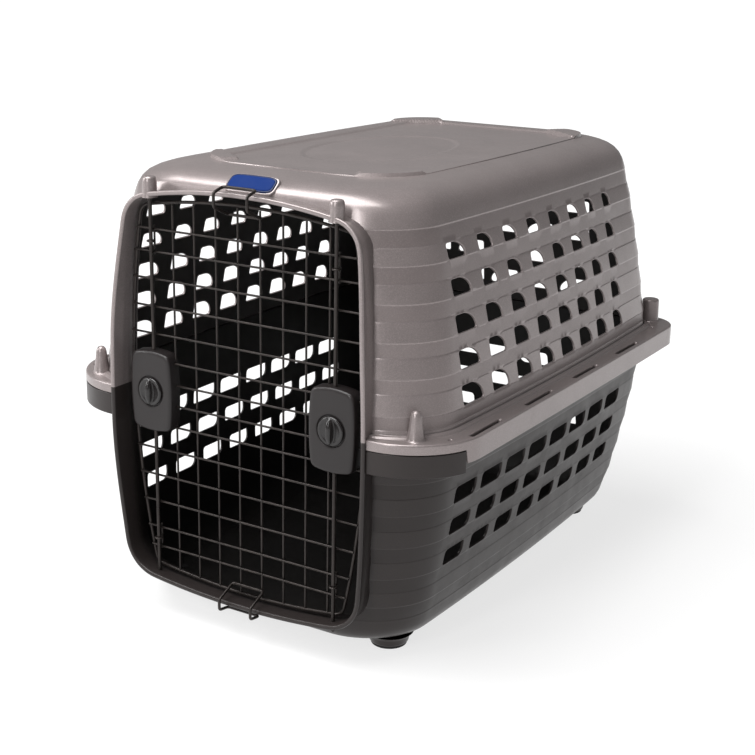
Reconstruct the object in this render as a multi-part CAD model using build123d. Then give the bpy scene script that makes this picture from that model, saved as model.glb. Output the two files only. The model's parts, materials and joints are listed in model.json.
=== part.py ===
from build123d import *
import math
import os

# Pet transport carrier: two moulded shells bolted at a mid flange, a wire door
# held by sliding rods, and a turn-dial latch on each side of the door.
# Millimetres, +Z up, +Y to the rear, origin under the middle of the box.

# ---- overall size and heights ----
FLANGE_HALF_WIDTH = 278.0
FLANGE_FRONT = -352.0
FLANGE_REAR = 360.0
FLANGE_FRONT_RADIUS = 92.0
FLANGE_REAR_RADIUS = 46.0
FLANGE_TOP = 290.0
PARTING = 287.0
SKIRT_BOTTOM = 262.0
CORNER_STEP = 278.0
CORNER_SKIRT_BOTTOM = 251.0
CORNER_STEP_Y = -288.0
FLOOR = 16.0
ROOF = 556.0
PAD_TOP = 560.0
WALL = 3.0
FIT = 0.3

# ---- outer wall stations: height, half width, front Y, rear Y ----
UPPER_STATIONS = [
    (PARTING, 253.5, -339.0, 340.0),
    (344.0, 245.8, -336.0, 337.0),
    (384.0, 239.7, -333.0, 334.5),
    (424.0, 232.8, -330.5, 331.5),
    (464.0, 224.8, -327.5, 328.5),
    (503.0, 215.5, -324.5, 325.5),
    (528.0, 208.0, -321.0, 323.0),
    (540.0, 200.0, -317.0, 320.0),
    (548.0, 188.0, -307.0, 316.0),
    (553.0, 172.0, -286.0, 309.0),
    (ROOF, 152.0, -246.0, 300.0),
]
LOWER_STATIONS = [
    (FLOOR, 184.0, -298.0, 290.0),
    (22.0, 197.0, -311.0, 303.0),
    (32.0, 206.5, -319.0, 311.0),
    (50.0, 214.0, -325.0, 317.0),
    (75.0, 221.0, -328.5, 321.0),
    (103.0, 227.0, -330.5, 324.0),
    (145.0, 234.6, -333.0, 328.0),
    (186.0, 241.0, -335.0, 332.0),
    (PARTING, 253.5, -339.0, 340.0),
]
SIDE_BOW = 9.0
FRONT_CORNER = 78.0
REAR_CORNER = 54.0

# ---- doorway, collar and door ----
LIP_FRONT = -355.5
COLLAR_BACK = -312.0
COLLAR_WALL = 3.5
LIP_FLARE = 2.0
LIP_DEPTH = 4.0
DOOR_TOP, DOOR_BOTTOM = 534.0, 44.0
DOOR_SHOULDER_Z, DOOR_SHOULDER_X = 517.0, 158.0
DOOR_MID_Z, DOOR_MID_X = 290.0, 176.0
DOOR_HEEL_Z, DOOR_HEEL_X = 57.0, 163.0
ROD_X = 129.6
ROD_Y = -334.4
ROD_R = 2.3
GRID_R = 1.3
BORDER_R = 2.0
CROSSWIRE_Y = ROD_Y + ROD_R + 0.4 + GRID_R
UPRIGHT_Y = CROSSWIRE_Y + 2 * GRID_R
BORDER_Y = CROSSWIRE_Y + GRID_R + BORDER_R
UPRIGHT_COUNT = 8
UPRIGHT_FIRST_X, UPRIGHT_PITCH = -102.0, 31.35
CROSSWIRE_HEIGHTS = [
    83.6, 109.0, 143.3, 177.6, 212.0, 244.0, 271.0,
    297.0, 324.0, 357.0, 390.5, 424.0, 457.0, 484.0,
]
STAPLE_SPANS = [(80.0, 113.0), (453.0, 488.0)]
EYE_HEIGHTS = [96.0, 470.0]
EYE_R, EYE_WIRE_R = 4.1, 1.2

# ---- rods and dial latches ----
DIAL_Z = 288.0
ROD_TOP, ROD_BOTTOM = 530.0, 39.0
ROD_TRAVEL = 16.0
PIN_OUT = 24.0
CAM_R, CAM_FRONT, CAM_BACK = 28.0, -340.2, -337.2
SLOT_HALF = ROD_R + 0.35
HOUSING_W, HOUSING_H = 62.0, 100.0
HOUSING_FRONT, HOUSING_SPLIT, HOUSING_BACK = -343.0, -331.9, -324.0
KNOB_R, KNOB_FRONT = 17.0, -346.0
GRIP_FRONT = -353.0
SPINDLE_R = 4.5
SCREW_DX, SCREW_DZ = 23.0, 40.0

# ---- stop loops on the door ----
LOOP_R = 1.8
LOOP_LEFT, LOOP_RIGHT = -18.0, 28.0
LOOP_KNEE_Y = FLANGE_REAR * -1 + LOOP_R
LOOP_BAR_Y = CROSSWIRE_Y + GRID_R - LOOP_R

# ---- vents ----
VENT_PITCH = 61.2
VENT_COLUMNS = 8
UPPER_VENT_FIRST_Y, LOWER_VENT_FIRST_Y = -224.0, -224.5
UPPER_VENT_ROWS = [
    (484.8, 37.0, 17.5), (444.9, 40.0, 18.5), (404.4, 42.0, 20.0), (364.8, 43.5, 21.0), (324.6, 45.0, 22.0),
]
LOWER_VENT_ROWS = [(204.4, 50.0, 19.0), (163.3, 46.0, 18.5), (123.0, 44.0, 18.0)]
UPPER_COLUMN_SHARE = [1.0, 0.86, 0.84, 0.82, 0.82, 0.84, 0.72, 0.68]
UPPER_COLUMN_SHIFT = [0.0, 4.0, 4.0, 4.0, 3.5, 0.0, -7.0, -11.0]
REAR_VENT_COLUMNS, REAR_VENT_PITCH = 5, 58.0

# ---- flange fittings ----
TOWERS = [(226.0, -321.0, 7.2), (238.0, 334.0, 10.0)]
TOWER_TOP = 322.0
TIE_HOLE_X, TIE_HOLE_FRONT, TIE_HOLE_REAR, TIE_HOLE_R = 257.0, -299.0, 296.0, 3.5
TAB_SLOTS, TAB_LENGTH, TAB_PITCH, TAB_FIRST_Y = 4, 74.0, 136.5, -239.0
TAB_IN, TAB_OUT = 266.0, 273.0
FOOT_X, FOOT_FRONT, FOOT_REAR, FOOT_R = 157.0, -252.0, 262.0, 23.0
PAD_THICKNESS = 4.0


def plan(half_width, front, rear, front_radius, rear_radius, bow=SIDE_BOW):
    """Rounded plan outline whose long sides bow outwards."""
    end = half_width - bow
    edges = [
        Line((-end, front), (end, front)),
        ThreePointArc((end, front), (half_width, 0), (end, rear)),
        Line((end, rear), (-end, rear)),
        ThreePointArc((-end, rear), (-half_width, 0), (-end, front)),
    ]
    face = make_face(edges)
    face = fillet(face.vertices().filter_by(lambda v: v.Y < 0), front_radius)
    return fillet([v for v in face.vertices() if v.Y > rear - 1.0], rear_radius)


def shell_sections(stations, inset, lift):
    """Plan outlines at each station, moved in by inset and up by lift."""
    sections = []
    for z, half_width, front, rear in stations:
        outline = plan(
            half_width - inset, front + inset, rear - inset,
            FRONT_CORNER - inset, REAR_CORNER - inset,
        )
        sections.append(Pos(0, 0, z + lift) * outline)
    return sections


def shell_wall(stations, closed_at_top):
    """Thin moulded wall between two ruled lofts, closed at roof or floor."""
    outer = loft(shell_sections(stations, 0, 0), ruled=True)
    if closed_at_top:
        inner_stations = [(PARTING - 1, *stations[0][1:])] + stations[1:]
        inner = loft(shell_sections(inner_stations, WALL, -WALL), ruled=True)
        foot = plan(250.5, -336.0, 337.0, FRONT_CORNER - WALL, REAR_CORNER - WALL)
        return outer - inner - Pos(0, 0, PARTING - 5) * extrude(foot, 6)
    inner_stations = stations[:-1] + [(PARTING + 1, *stations[-1][1:])]
    inner = loft(shell_sections(inner_stations, WALL, WALL), ruled=True)
    return outer - inner


def flange_plan(inset):
    """Outline of the mid flange, moved in by inset."""
    return plan(
        FLANGE_HALF_WIDTH - inset, FLANGE_FRONT + inset, FLANGE_REAR - inset,
        FLANGE_FRONT_RADIUS - inset, FLANGE_REAR_RADIUS - inset, bow=2.0,
    )


def band(outer_inset, inner_inset, bottom, top):
    """Upright band that follows the flange outline."""
    ring = flange_plan(outer_inset) - flange_plan(inner_inset)
    return Pos(0, 0, bottom) * extrude(ring, top - bottom)


def wall_plan(grow):
    """Outline of the wall at the flange, grown outwards."""
    return plan(253.5 + grow, -339.0 - grow, 340.0 + grow, FRONT_CORNER + grow, REAR_CORNER + grow)


def ledge(outer_inset, bottom, top):
    """Flat flange plate from the wall out to the flange outline."""
    ring = flange_plan(outer_inset) - wall_plan(-WALL + 0.5)
    return Pos(0, 0, bottom) * extrude(ring, top - bottom)


def doorway_face(grow):
    """Barrel-sided doorway outline in the XZ plane, grown outwards."""
    top, low = DOOR_TOP + grow, DOOR_BOTTOM - grow
    shoulder = (DOOR_SHOULDER_X + grow, DOOR_SHOULDER_Z + grow)
    heel = (DOOR_HEEL_X + grow, DOOR_HEEL_Z - grow)
    side = DOOR_MID_X + grow
    edges = [
        ThreePointArc((-shoulder[0], shoulder[1]), (0, top), shoulder),
        ThreePointArc(shoulder, (side, DOOR_MID_Z), heel),
        ThreePointArc(heel, (0, low), (-heel[0], heel[1])),
        ThreePointArc((-heel[0], heel[1]), (-side, DOOR_MID_Z), (-shoulder[0], shoulder[1])),
    ]
    face = make_face(edges)
    face = fillet([v for v in face.vertices() if v.Y > DOOR_MID_Z], 24.0 + grow)
    return fillet([v for v in face.vertices() if v.Y < DOOR_HEEL_Z + 5 and abs(v.X) > 150], 32.0 + grow)


def along_y(face, start, end):
    """Solid from start to end along +Y of a face drawn in XZ."""
    return Plane((0, end, 0), x_dir=(1, 0, 0), z_dir=(0, -1, 0)) * extrude(face, end - start)


def collar(low, high):
    """Doorway collar with a flared lip, between two heights."""
    body = along_y(doorway_face(COLLAR_WALL), LIP_FRONT, COLLAR_BACK)
    lip = along_y(doorway_face(COLLAR_WALL + LIP_FLARE), LIP_FRONT, LIP_FRONT + LIP_DEPTH)
    keep = Pos(0, -330, (low + high) / 2) * Box(420, 80, high - low)
    return (body + lip) & keep


def rounded_polygon(corners):
    """Closed outline with its own corner radius at each point."""
    face = make_face(Polyline(*[(x, y) for x, y, _ in corners], close=True))
    for x, y, radius in corners:
        face = fillet([v for v in face.vertices() if abs(v.X - x) + abs(v.Y - y) < 0.01], radius)
    return face


def upper_vent(width, height):
    """D-shaped vent, square to the front and rounded to the rear."""
    left, right, low, high = -width / 2, width / 2, -height / 2, height / 2
    corner = 3.0
    bend = corner * (1 - math.sqrt(0.5))
    knee, heel = (left + width * 0.45, high), (right, low + height * 0.22)
    brow = (left + width * 0.84, low + height * 0.8)
    return make_face([
        Line((left, low), (right - 1.5, low)),
        Line((right - 1.5, low), heel),
        ThreePointArc(heel, brow, knee),
        Line(knee, (left + corner, high)),
        ThreePointArc((left + corner, high), (left + bend, high - bend), (left, high - corner)),
        Line((left, high - corner), (left, low)),
    ])


def lower_vent(width, height):
    """Leaf-shaped vent with points at its low front and high rear."""
    left, right, low, high = -width / 2, width / 2, -height / 2, height / 2
    belly, brow = 0.6 * height, 0.3 * height
    bend = 1 - math.sqrt(0.5)
    heel, cheek = (right - belly, low), (right - 0.6, low + belly)
    nose, chin = (left + 1.6 + brow, high), (left + 1.6, high - brow)
    return make_face([
        Line((left, low), heel),
        ThreePointArc(heel, (right - 0.3 - belly * bend, low + belly * bend), cheek),
        Line(cheek, (right, high)),
        Line((right, high), nose),
        ThreePointArc(nose, (left + 1.6 + brow * bend, high - brow * bend), chin),
        Line(chin, (left, low)),
    ])


def side_cutters(rows, first_y, shape, shares, shifts):
    """Vent prisms right across both side walls, narrower towards the rear."""
    cutters = []
    for z, width, height in rows:
        for column in range(VENT_COLUMNS):
            y = first_y + column * VENT_PITCH + shifts[column]
            plane = Plane((-300, y, z), x_dir=(0, 1, 0), z_dir=(1, 0, 0))
            face = plane * shape(width * shares[column], height)
            cutters.append(extrude(face, 600, dir=(1, 0, 0)))
    return cutters


def rear_cutters(rows, shape):
    """Vent prisms through the rear wall."""
    cutters = []
    for z, width, height in rows:
        for column in range(REAR_VENT_COLUMNS):
            x = (column - (REAR_VENT_COLUMNS - 1) / 2) * REAR_VENT_PITCH
            face = Plane((x, 360, z), x_dir=(-1, 0, 0), z_dir=(0, 1, 0)) * shape(width, height)
            cutters.append(extrude(face, 80, dir=(0, -1, 0)))
    return cutters


def both_sides(points):
    """Mirror points (x, y) about the middle."""
    return [(side * x, y) for x, y in points for side in (-1, 1)]


def tie_holes():
    """Four tie-down holes right through both flanges."""
    points = both_sides([(TIE_HOLE_X, TIE_HOLE_FRONT), (TIE_HOLE_X, TIE_HOLE_REAR)])
    return [Pos(x, y, PARTING) * Cylinder(TIE_HOLE_R, 20) for x, y in points]


def tower_screw_cutters(radius, low, high):
    """Screw bores under the four flange towers."""
    points = both_sides([(x, y) for x, y, _ in TOWERS])
    return [Pos(x, y, (low + high) / 2) * Cylinder(radius, high - low) for x, y in points]


def tab_boxes(inset, bottom, top):
    """Boxes at the snap tabs or their slots, four on each side."""
    boxes = []
    width = TAB_OUT - TAB_IN - 2 * inset
    for index in range(TAB_SLOTS):
        y = TAB_FIRST_Y + index * TAB_PITCH
        for side in (-1, 1):
            centre = Pos(side * (TAB_IN + TAB_OUT) / 2, y, (bottom + top) / 2)
            boxes.append(centre * Box(width, TAB_LENGTH - 2 * inset, top - bottom))
    return boxes


def roof_pads():
    """Raised pads at the four roof corners, for stacking."""
    pads = []
    for side in (-1, 1):
        front = rounded_polygon([
            (side * 84, -244, 8), (side * 140, -244, 20), (side * 148, -190, 10), (side * 132, -178, 8),
        ])
        rear = rounded_polygon([
            (side * 84, 296, 8), (side * 144, 296, 16), (side * 147, 240, 10), (side * 132, 232, 8),
        ])
        pads += [Pos(0, 0, ROOF - 1) * extrude(pad, PAD_TOP - ROOF + 1) for pad in (front, rear)]
    return pads


def socket_bosses():
    """Bosses on top of the collar that take the upper rod ends."""
    return [Pos(side * ROD_X, ROD_Y, 534) * Cylinder(8.5, 24) for side in (-1, 1)]


def label_plane():
    """Plane of the flat seat for the badge, on the front shoulder."""
    return Plane((2, -314, 545.5), x_dir=(1, 0, 0), z_dir=(0, -0.64, 0.77))


def badge_outline(grow):
    """Rounded badge outline."""
    return RectangleRounded(60 + 2 * grow, 18 + 2 * grow, 8 + grow)


def make_top_shell():
    """Upper moulded shell with roof, collar, vents and flange."""
    shell = shell_wall(UPPER_STATIONS, True)
    opening = along_y(doorway_face(0), -380, -290)
    outside = along_y(doorway_face(COLLAR_WALL), -380, -290)
    shell = shell - outside
    shell += collar(PARTING, 560) - loft(shell_sections(UPPER_STATIONS, WALL, -WALL), ruled=True)
    shell += ledge(0, PARTING, FLANGE_TOP) - outside
    bead = Pos(0, 0, FLANGE_TOP - 0.5) * extrude(wall_plan(5) - wall_plan(-1), 4)
    shell += bead - outside
    skirt = band(0, WALL, SKIRT_BOTTOM, FLANGE_TOP)
    corner = Pos(0, CORNER_STEP_Y - 60, CORNER_STEP - 20) * Box(700, 120, 40)
    lip = along_y(doorway_face(COLLAR_WALL + LIP_FLARE + FIT), -380, -290)
    shell += skirt - corner - lip
    for x, y, radius in TOWERS:
        for side in (-1, 1):
            post = Cone(radius, radius - 2, TOWER_TOP - FLANGE_TOP + 2)
            shell += Pos(side * x, y, (FLANGE_TOP + TOWER_TOP) / 2 - 1) * post
    for pad in roof_pads():
        shell += pad
    seat = label_plane() * Pos(0, 0, -4) * extrude(badge_outline(2.5), 4)
    shell += seat
    for boss in socket_bosses():
        shell += boss
    shell -= [Pos(side * ROD_X, ROD_Y, 526) * Cylinder(ROD_R + 0.4, 22) for side in (-1, 1)]
    dish = Pos(0, 26, ROOF) * extrude(Ellipse(98, 160), 5, both=True)
    shell -= dish & Pos(0, 26, ROOF + 4) * Box(400, 400, 10.4)
    shell -= opening
    shell -= side_cutters(
        UPPER_VENT_ROWS, UPPER_VENT_FIRST_Y, upper_vent, UPPER_COLUMN_SHARE, UPPER_COLUMN_SHIFT)
    shell -= rear_cutters(UPPER_VENT_ROWS, upper_vent)
    shell -= tie_holes()
    shell -= tab_boxes(0, PARTING - 1, FLANGE_TOP + 6)
    shell -= tower_screw_cutters(2.4, PARTING - 1, TOWER_TOP - 9)
    return shell


def make_bottom_shell():
    """Lower moulded shell with floor, sill, vents, flange and foot cups."""
    shell = shell_wall(LOWER_STATIONS, False)
    opening = along_y(doorway_face(0), -380, -290)
    outside = along_y(doorway_face(COLLAR_WALL), -380, -290)
    shell = shell - outside
    shell += collar(20, PARTING) - loft(shell_sections(LOWER_STATIONS, WALL, 0), ruled=True)
    shell += ledge(WALL + FIT, PARTING - WALL, PARTING) - outside
    inner_skirt = band(WALL + FIT, 2 * WALL + FIT, CORNER_SKIRT_BOTTOM, PARTING)
    outer_skirt = band(0, WALL + FIT + 1, CORNER_SKIRT_BOTTOM, CORNER_STEP - FIT)
    behind = Pos(0, CORNER_STEP_Y + 400, 240) * Box(700, 800, 2 * (SKIRT_BOTTOM + 6 - 240))
    all_behind = Pos(0, CORNER_STEP_Y + 400 - FIT, 270) * Box(700, 800, 60)
    shell += (inner_skirt - behind) - outside
    shell += (outer_skirt - all_behind) - outside
    for box in tab_boxes(1.0, PARTING - 2, FLANGE_TOP - 0.5):
        shell += box
    feet = both_sides([(FOOT_X, FOOT_FRONT), (FOOT_X, FOOT_REAR)])
    for x, y in feet:
        shell += Pos(x, y, (PAD_THICKNESS + 30) / 2) * Cone(FOOT_R, FOOT_R + 3, 30 - PAD_THICKNESS)
    shell -= loft(shell_sections(LOWER_STATIONS[:-1], WALL, WALL), ruled=True)
    for x, y in feet:
        shell -= Pos(x, y, 10) * Cylinder(4, 40)
    shell -= opening
    shell -= [Pos(side * ROD_X, ROD_Y, 48) * Cylinder(ROD_R + 0.4, 24) for side in (-1, 1)]
    shell -= side_cutters(
        LOWER_VENT_ROWS, LOWER_VENT_FIRST_Y, lower_vent, [1.0] * VENT_COLUMNS, [0.0] * VENT_COLUMNS)
    shell -= rear_cutters(LOWER_VENT_ROWS, lower_vent)
    shell -= tie_holes()
    shell -= tower_screw_cutters(2.7, PARTING - 6, PARTING + 1)
    return shell


def make_foot_pads():
    """Rubber pads with stems pushed up into the foot cups."""
    pads = []
    for x, y in both_sides([(FOOT_X, FOOT_FRONT), (FOOT_X, FOOT_REAR)]):
        disc = Pos(x, y, PAD_THICKNESS / 2) * Cylinder(FOOT_R - 1, PAD_THICKNESS)
        disc = fillet(disc.edges().group_by(Axis.Z)[0], 1.5)
        pads.append(disc + Pos(x, y, 10) * Cylinder(3.8, 20))
    return pads


def make_flange_screws():
    """Four screws driven up through the lower flange into the towers."""
    screws = []
    for x, y in both_sides([(x, y) for x, y, _ in TOWERS]):
        length = TOWER_TOP - 12 - PARTING + WALL
        shank = Pos(x, y, PARTING - WALL + length / 2) * Cylinder(2.2, length)
        head = Pos(x, y, PARTING - WALL - 1.5) * Cylinder(4.5, 3)
        drive = Pos(x, y, PARTING - WALL - 3) * (Box(5, 1.1, 2) + Box(1.1, 5, 2))
        screws.append(shank + head - drive)
    return screws


def border_path():
    """Closed border of the door, in XZ."""
    edges = [
        ThreePointArc((-149, 510), (0, 523.5), (149, 510)),
        ThreePointArc((149, 510), (166.5, 300), (138, 60)),
        ThreePointArc((138, 60), (0, 49.5), (-138, 60)),
        ThreePointArc((-138, 60), (-166.5, 300), (-149, 510)),
    ]
    face = make_face(edges)
    face = fillet([v for v in face.vertices() if v.Y > 400], 16)
    return fillet([v for v in face.vertices() if v.Y < 65], 14)


def make_border_wire():
    """Closed wire round the door."""
    frame = Plane((0, BORDER_Y, 0), x_dir=(1, 0, 0), z_dir=(0, -1, 0))
    path = (frame * border_path()).face().outer_wire()
    start = path @ 0
    return sweep(Plane(start, z_dir=path % 0) * Circle(BORDER_R), path=path)


def border_half_width(z):
    """Half width of the door border at a height."""
    hits = [e.intersect(Axis((0, z, 0), (1, 0, 0))) for e in border_path().edges()]
    points = [v for hit in hits if hit for v in (hit if isinstance(hit, (list, ShapeList)) else [hit])]
    return max(v.center().X if hasattr(v, "center") else v.X for v in points)


def border_height(x, top):
    """Height of the door border above a point of its width."""
    hits = [e.intersect(Axis((x, 0, 0), (0, 1, 0))) for e in border_path().edges()]
    points = [v for hit in hits if hit for v in (hit if isinstance(hit, (list, ShapeList)) else [hit])]
    heights = [v.center().Y if hasattr(v, "center") else v.Y for v in points]
    return max(heights) if top else min(heights)


def rod_between(start, end, radius):
    """Round rod from one point to another."""
    start, end = Vector(*start), Vector(*end)
    return extrude(Plane(start, z_dir=end - start) * Circle(radius), (end - start).length)


def make_crosswires():
    """Level wires of the door."""
    wires = []
    for z in CROSSWIRE_HEIGHTS:
        reach = border_half_width(z)
        wires.append(rod_between((-reach, CROSSWIRE_Y, z), (reach, CROSSWIRE_Y, z), GRID_R))
    return wires


def make_uprights():
    """Upright wires of the door."""
    wires = []
    for index in range(UPRIGHT_COUNT):
        x = UPRIGHT_FIRST_X + index * UPRIGHT_PITCH
        low = border_height(x, False) + BORDER_R + 0.3
        high = border_height(x, True) - BORDER_R - 0.3
        wires.append(rod_between((x, UPRIGHT_Y, low), (x, UPRIGHT_Y, high), GRID_R))
    return wires


def make_rod_guides():
    """Short staples and wire eyes that guide the four rods."""
    guides = []
    for side in (-1, 1):
        for low, high in STAPLE_SPANS:
            ends = [(side * ROD_X, UPRIGHT_Y, z) for z in (low, high)]
            guides.append(rod_between(*ends, GRID_R))
        for z in EYE_HEIGHTS:
            guides.append(Pos(side * ROD_X, ROD_Y, z) * Torus(EYE_R, EYE_WIRE_R))
    return guides


def make_stop_loop(bar_z, knee_z, lip_z, outer_z, outer_y):
    """Closed wire loop welded to the door, bent round the doorway lip."""
    side = [
        (LOOP_BAR_Y, bar_z), (LOOP_KNEE_Y, knee_z), (LOOP_KNEE_Y, lip_z), (outer_y, outer_z),
    ]
    left = [(LOOP_LEFT, y, z) for y, z in side]
    right = [(LOOP_RIGHT, y, z) for y, z in reversed(side)]
    middle = ((LOOP_LEFT + LOOP_RIGHT) / 2, LOOP_BAR_Y, bar_z)
    corners = [middle] + left + right + [middle]
    loop = None
    for start, end in zip(corners, corners[1:]):
        run = rod_between(start, end, LOOP_R)
        loop = run if loop is None else loop + run
        loop += Pos(*end) * Sphere(LOOP_R)
    return loop


def housing_face(grow):
    """Latch housing outline in XZ, with bowed ends and sides."""
    half_w, half_h = HOUSING_W / 2 + grow, HOUSING_H / 2 + grow
    edges = [
        ThreePointArc((-half_w + 3, half_h - 4), (0, half_h), (half_w - 3, half_h - 4)),
        ThreePointArc((half_w - 3, half_h - 4), (half_w, 0), (half_w - 3, -half_h + 4)),
        ThreePointArc((half_w - 3, -half_h + 4), (0, -half_h), (-half_w + 3, -half_h + 4)),
        ThreePointArc((-half_w + 3, -half_h + 4), (-half_w, 0), (-half_w + 3, half_h - 4)),
    ]
    face = make_face(edges)
    return fillet(face.vertices(), 9 + grow)


def at_dial(side, solid):
    """Move a solid from the frame's middle line to a dial's centre."""
    return Pos(side * ROD_X, 0, DIAL_Z) * solid


def screw_places():
    """Housing screw places, measured from the dial's centre."""
    return [(dx, dz) for dx in (-SCREW_DX, SCREW_DX) for dz in (-SCREW_DZ, SCREW_DZ)]


def round_bar(x, z, radius, front, back):
    """Round bar along Y."""
    return rod_between((x, front, z), (x, back, z), radius)


def make_latch_cover(side):
    """Front half of a latch housing."""
    cover = along_y(housing_face(0), HOUSING_FRONT, HOUSING_SPLIT)
    cover = fillet(cover.faces().sort_by(Axis.Y)[0].edges(), 2.2)
    cover -= round_bar(0, 0, CAM_R + 0.6, CAM_FRONT - 0.4, HOUSING_SPLIT + 1)
    cover -= Pos(0, ROD_Y, 0) * Box(2 * ROD_R + 1.2, 2 * ROD_R + 1.0, HOUSING_H + 10)
    cover -= Pos(0, HOUSING_SPLIT - 1, 0) * Box(2 * ROD_R + 1.2, 4, HOUSING_H + 10)
    cover -= round_bar(0, 0, SPINDLE_R + 0.35, HOUSING_FRONT - 2, CAM_FRONT)
    for dx, dz in screw_places():
        cover -= round_bar(dx, dz, 1.35, HOUSING_SPLIT - 8, HOUSING_SPLIT + 1)
    return at_dial(side, cover)


def make_latch_back(side):
    """Rear half of a latch housing, grooved over the door wires."""
    back = along_y(housing_face(0), HOUSING_SPLIT + 0.02, HOUSING_BACK)
    back = fillet(back.faces().sort_by(Axis.Y)[-1].edges(), 1.5)
    for dx, dz in screw_places():
        back -= round_bar(dx, dz, 1.7, HOUSING_SPLIT - 1, HOUSING_BACK + 1)
        back -= round_bar(dx, dz, 3.3, HOUSING_BACK - 2, HOUSING_BACK + 1)
    back = at_dial(side, back)
    for z in CROSSWIRE_HEIGHTS:
        if abs(z - DIAL_Z) < HOUSING_H / 2 + 2:
            back -= rod_between((-200, CROSSWIRE_Y, z), (200, CROSSWIRE_Y, z), GRID_R + FIT)
    for index in range(UPRIGHT_COUNT):
        x = UPRIGHT_FIRST_X + index * UPRIGHT_PITCH
        if abs(x - side * ROD_X) < HOUSING_W / 2 + 2:
            back -= rod_between((x, UPRIGHT_Y, 200), (x, UPRIGHT_Y, 380), GRID_R + FIT)
    return back


def make_latch_screws(side):
    """Four screws that close a latch housing from behind."""
    screws = []
    for dx, dz in screw_places():
        screw = round_bar(dx, dz, 1.3, HOUSING_SPLIT - 7, HOUSING_BACK - 2)
        screw += round_bar(dx, dz, 3.0, HOUSING_BACK - 2, HOUSING_BACK - 0.3)
        screw -= Pos(dx, HOUSING_BACK - 0.3, dz) * (Box(3.6, 1.4, 0.8) + Box(0.8, 1.4, 3.6))
        screws.append(at_dial(side, screw))
    return screws


def make_dial(side):
    """Turn knob with a hand grip and a spindle."""
    knob = round_bar(0, 0, KNOB_R, KNOB_FRONT, HOUSING_FRONT - 0.3)
    knob = fillet(knob.faces().sort_by(Axis.Y)[0].edges(), 1.2)
    grip = along_y(SlotOverall(2 * KNOB_R - 3, 9, rotation=90), GRIP_FRONT, KNOB_FRONT + 1)
    knob += fillet(grip.faces().sort_by(Axis.Y)[0].edges(), 3)
    knob += round_bar(0, 0, SPINDLE_R, HOUSING_FRONT - 0.3, CAM_FRONT)
    knob += round_bar(0, 0, 2.0, CAM_FRONT, CAM_BACK + 1.3)
    return at_dial(side, knob)


def spiral_slot():
    """Spiral slot whose radius falls evenly over a quarter turn."""
    points = []
    steps = 12
    for index in range(steps + 1):
        share = index / steps
        angle = math.radians(90 - 90 * share)
        radius = PIN_OUT - ROD_TRAVEL * share
        points.append((radius * math.cos(angle), radius * math.sin(angle)))
    centre_line = Spline(*points)
    slot = trace(centre_line, 2 * SLOT_HALF)
    for x, z in (points[0], points[-1]):
        slot += Pos(x, z) * Circle(SLOT_HALF)
    return slot


def make_cam(side):
    """Cam disc with two opposite spiral slots for the rod ends."""
    slot = spiral_slot()
    face = Circle(CAM_R) - Circle(2.1) - slot - Rot(0, 0, 180) * slot
    return at_dial(side, along_y(face, CAM_FRONT, CAM_BACK))


def make_cam_clip(side):
    """Push-on washer that keeps the cam on the spindle."""
    return at_dial(side, along_y(Circle(5.0) - Circle(2.1), CAM_BACK + 0.05, CAM_BACK + 1.2))


def make_rod(side, up):
    """Sliding rod whose inner end is bent forward into the cam."""
    pin_z = DIAL_Z + (PIN_OUT if up else -PIN_OUT)
    tip_z = ROD_TOP if up else ROD_BOTTOM
    bevel = 1.5 if up else -1.5
    rod = rod_between((side * ROD_X, ROD_Y, pin_z), (side * ROD_X, ROD_Y, tip_z - bevel), ROD_R)
    tip = Pos(side * ROD_X, ROD_Y, tip_z - bevel / 2)
    rod += tip * (Cone(ROD_R, ROD_R - 0.9, 1.5) if up else Cone(ROD_R - 0.9, ROD_R, 1.5))
    rod += Pos(side * ROD_X, ROD_Y, pin_z) * Sphere(ROD_R)
    rod += round_bar(side * ROD_X, pin_z, ROD_R, CAM_FRONT + 0.1, ROD_Y)
    return rod


def make_badge():
    """Plain oval badge on the front shoulder."""
    return label_plane() * Pos(0, 0, 0.02) * extrude(badge_outline(0), 1.4)


def save(name, solids):
    """Write one node as a STEP file."""
    solids = solids if isinstance(solids, list) else [solids]
    parts = [solid for item in solids for solid in item.solids()]
    shape = parts[0] if len(parts) == 1 else Compound(children=parts)
    shape.label = name
    export_step(shape, f"parts/{name}.step")
    print(name, len(parts), round(sum(part.volume for part in parts)))


os.makedirs("parts", exist_ok=True)
save("top_shell", make_top_shell())
save("bottom_shell", make_bottom_shell())
save("foot_pads", make_foot_pads())
save("flange_screws", make_flange_screws())
save("badge", make_badge())
save("door_border_wire", make_border_wire())
save("door_crosswires", make_crosswires())
save("door_uprights", make_uprights())
save("rod_guides", make_rod_guides())
save("upper_stop_loop", make_stop_loop(513.0, 525.0, 541.0, 545.6, -341.0))
save("lower_stop_loop", make_stop_loop(62.0, 50.0, 36.5, 34.0, -341.0))
for name, side in (("left", -1), ("right", 1)):
    save(f"{name}_latch_cover", make_latch_cover(side))
    save(f"{name}_latch_back", make_latch_back(side))
    save(f"{name}_latch_screws", make_latch_screws(side))
    save(f"{name}_dial", make_dial(side))
    save(f"{name}_cam", make_cam(side))
    save(f"{name}_cam_clip", make_cam_clip(side))
    save(f"{name}_upper_rod", make_rod(side, True))
    save(f"{name}_lower_rod", make_rod(side, False))
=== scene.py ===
import json
import math

import bpy
import bmesh
import numpy as np
from mathutils import Matrix, Vector
from mathutils.geometry import delaunay_2d_cdt

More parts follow.
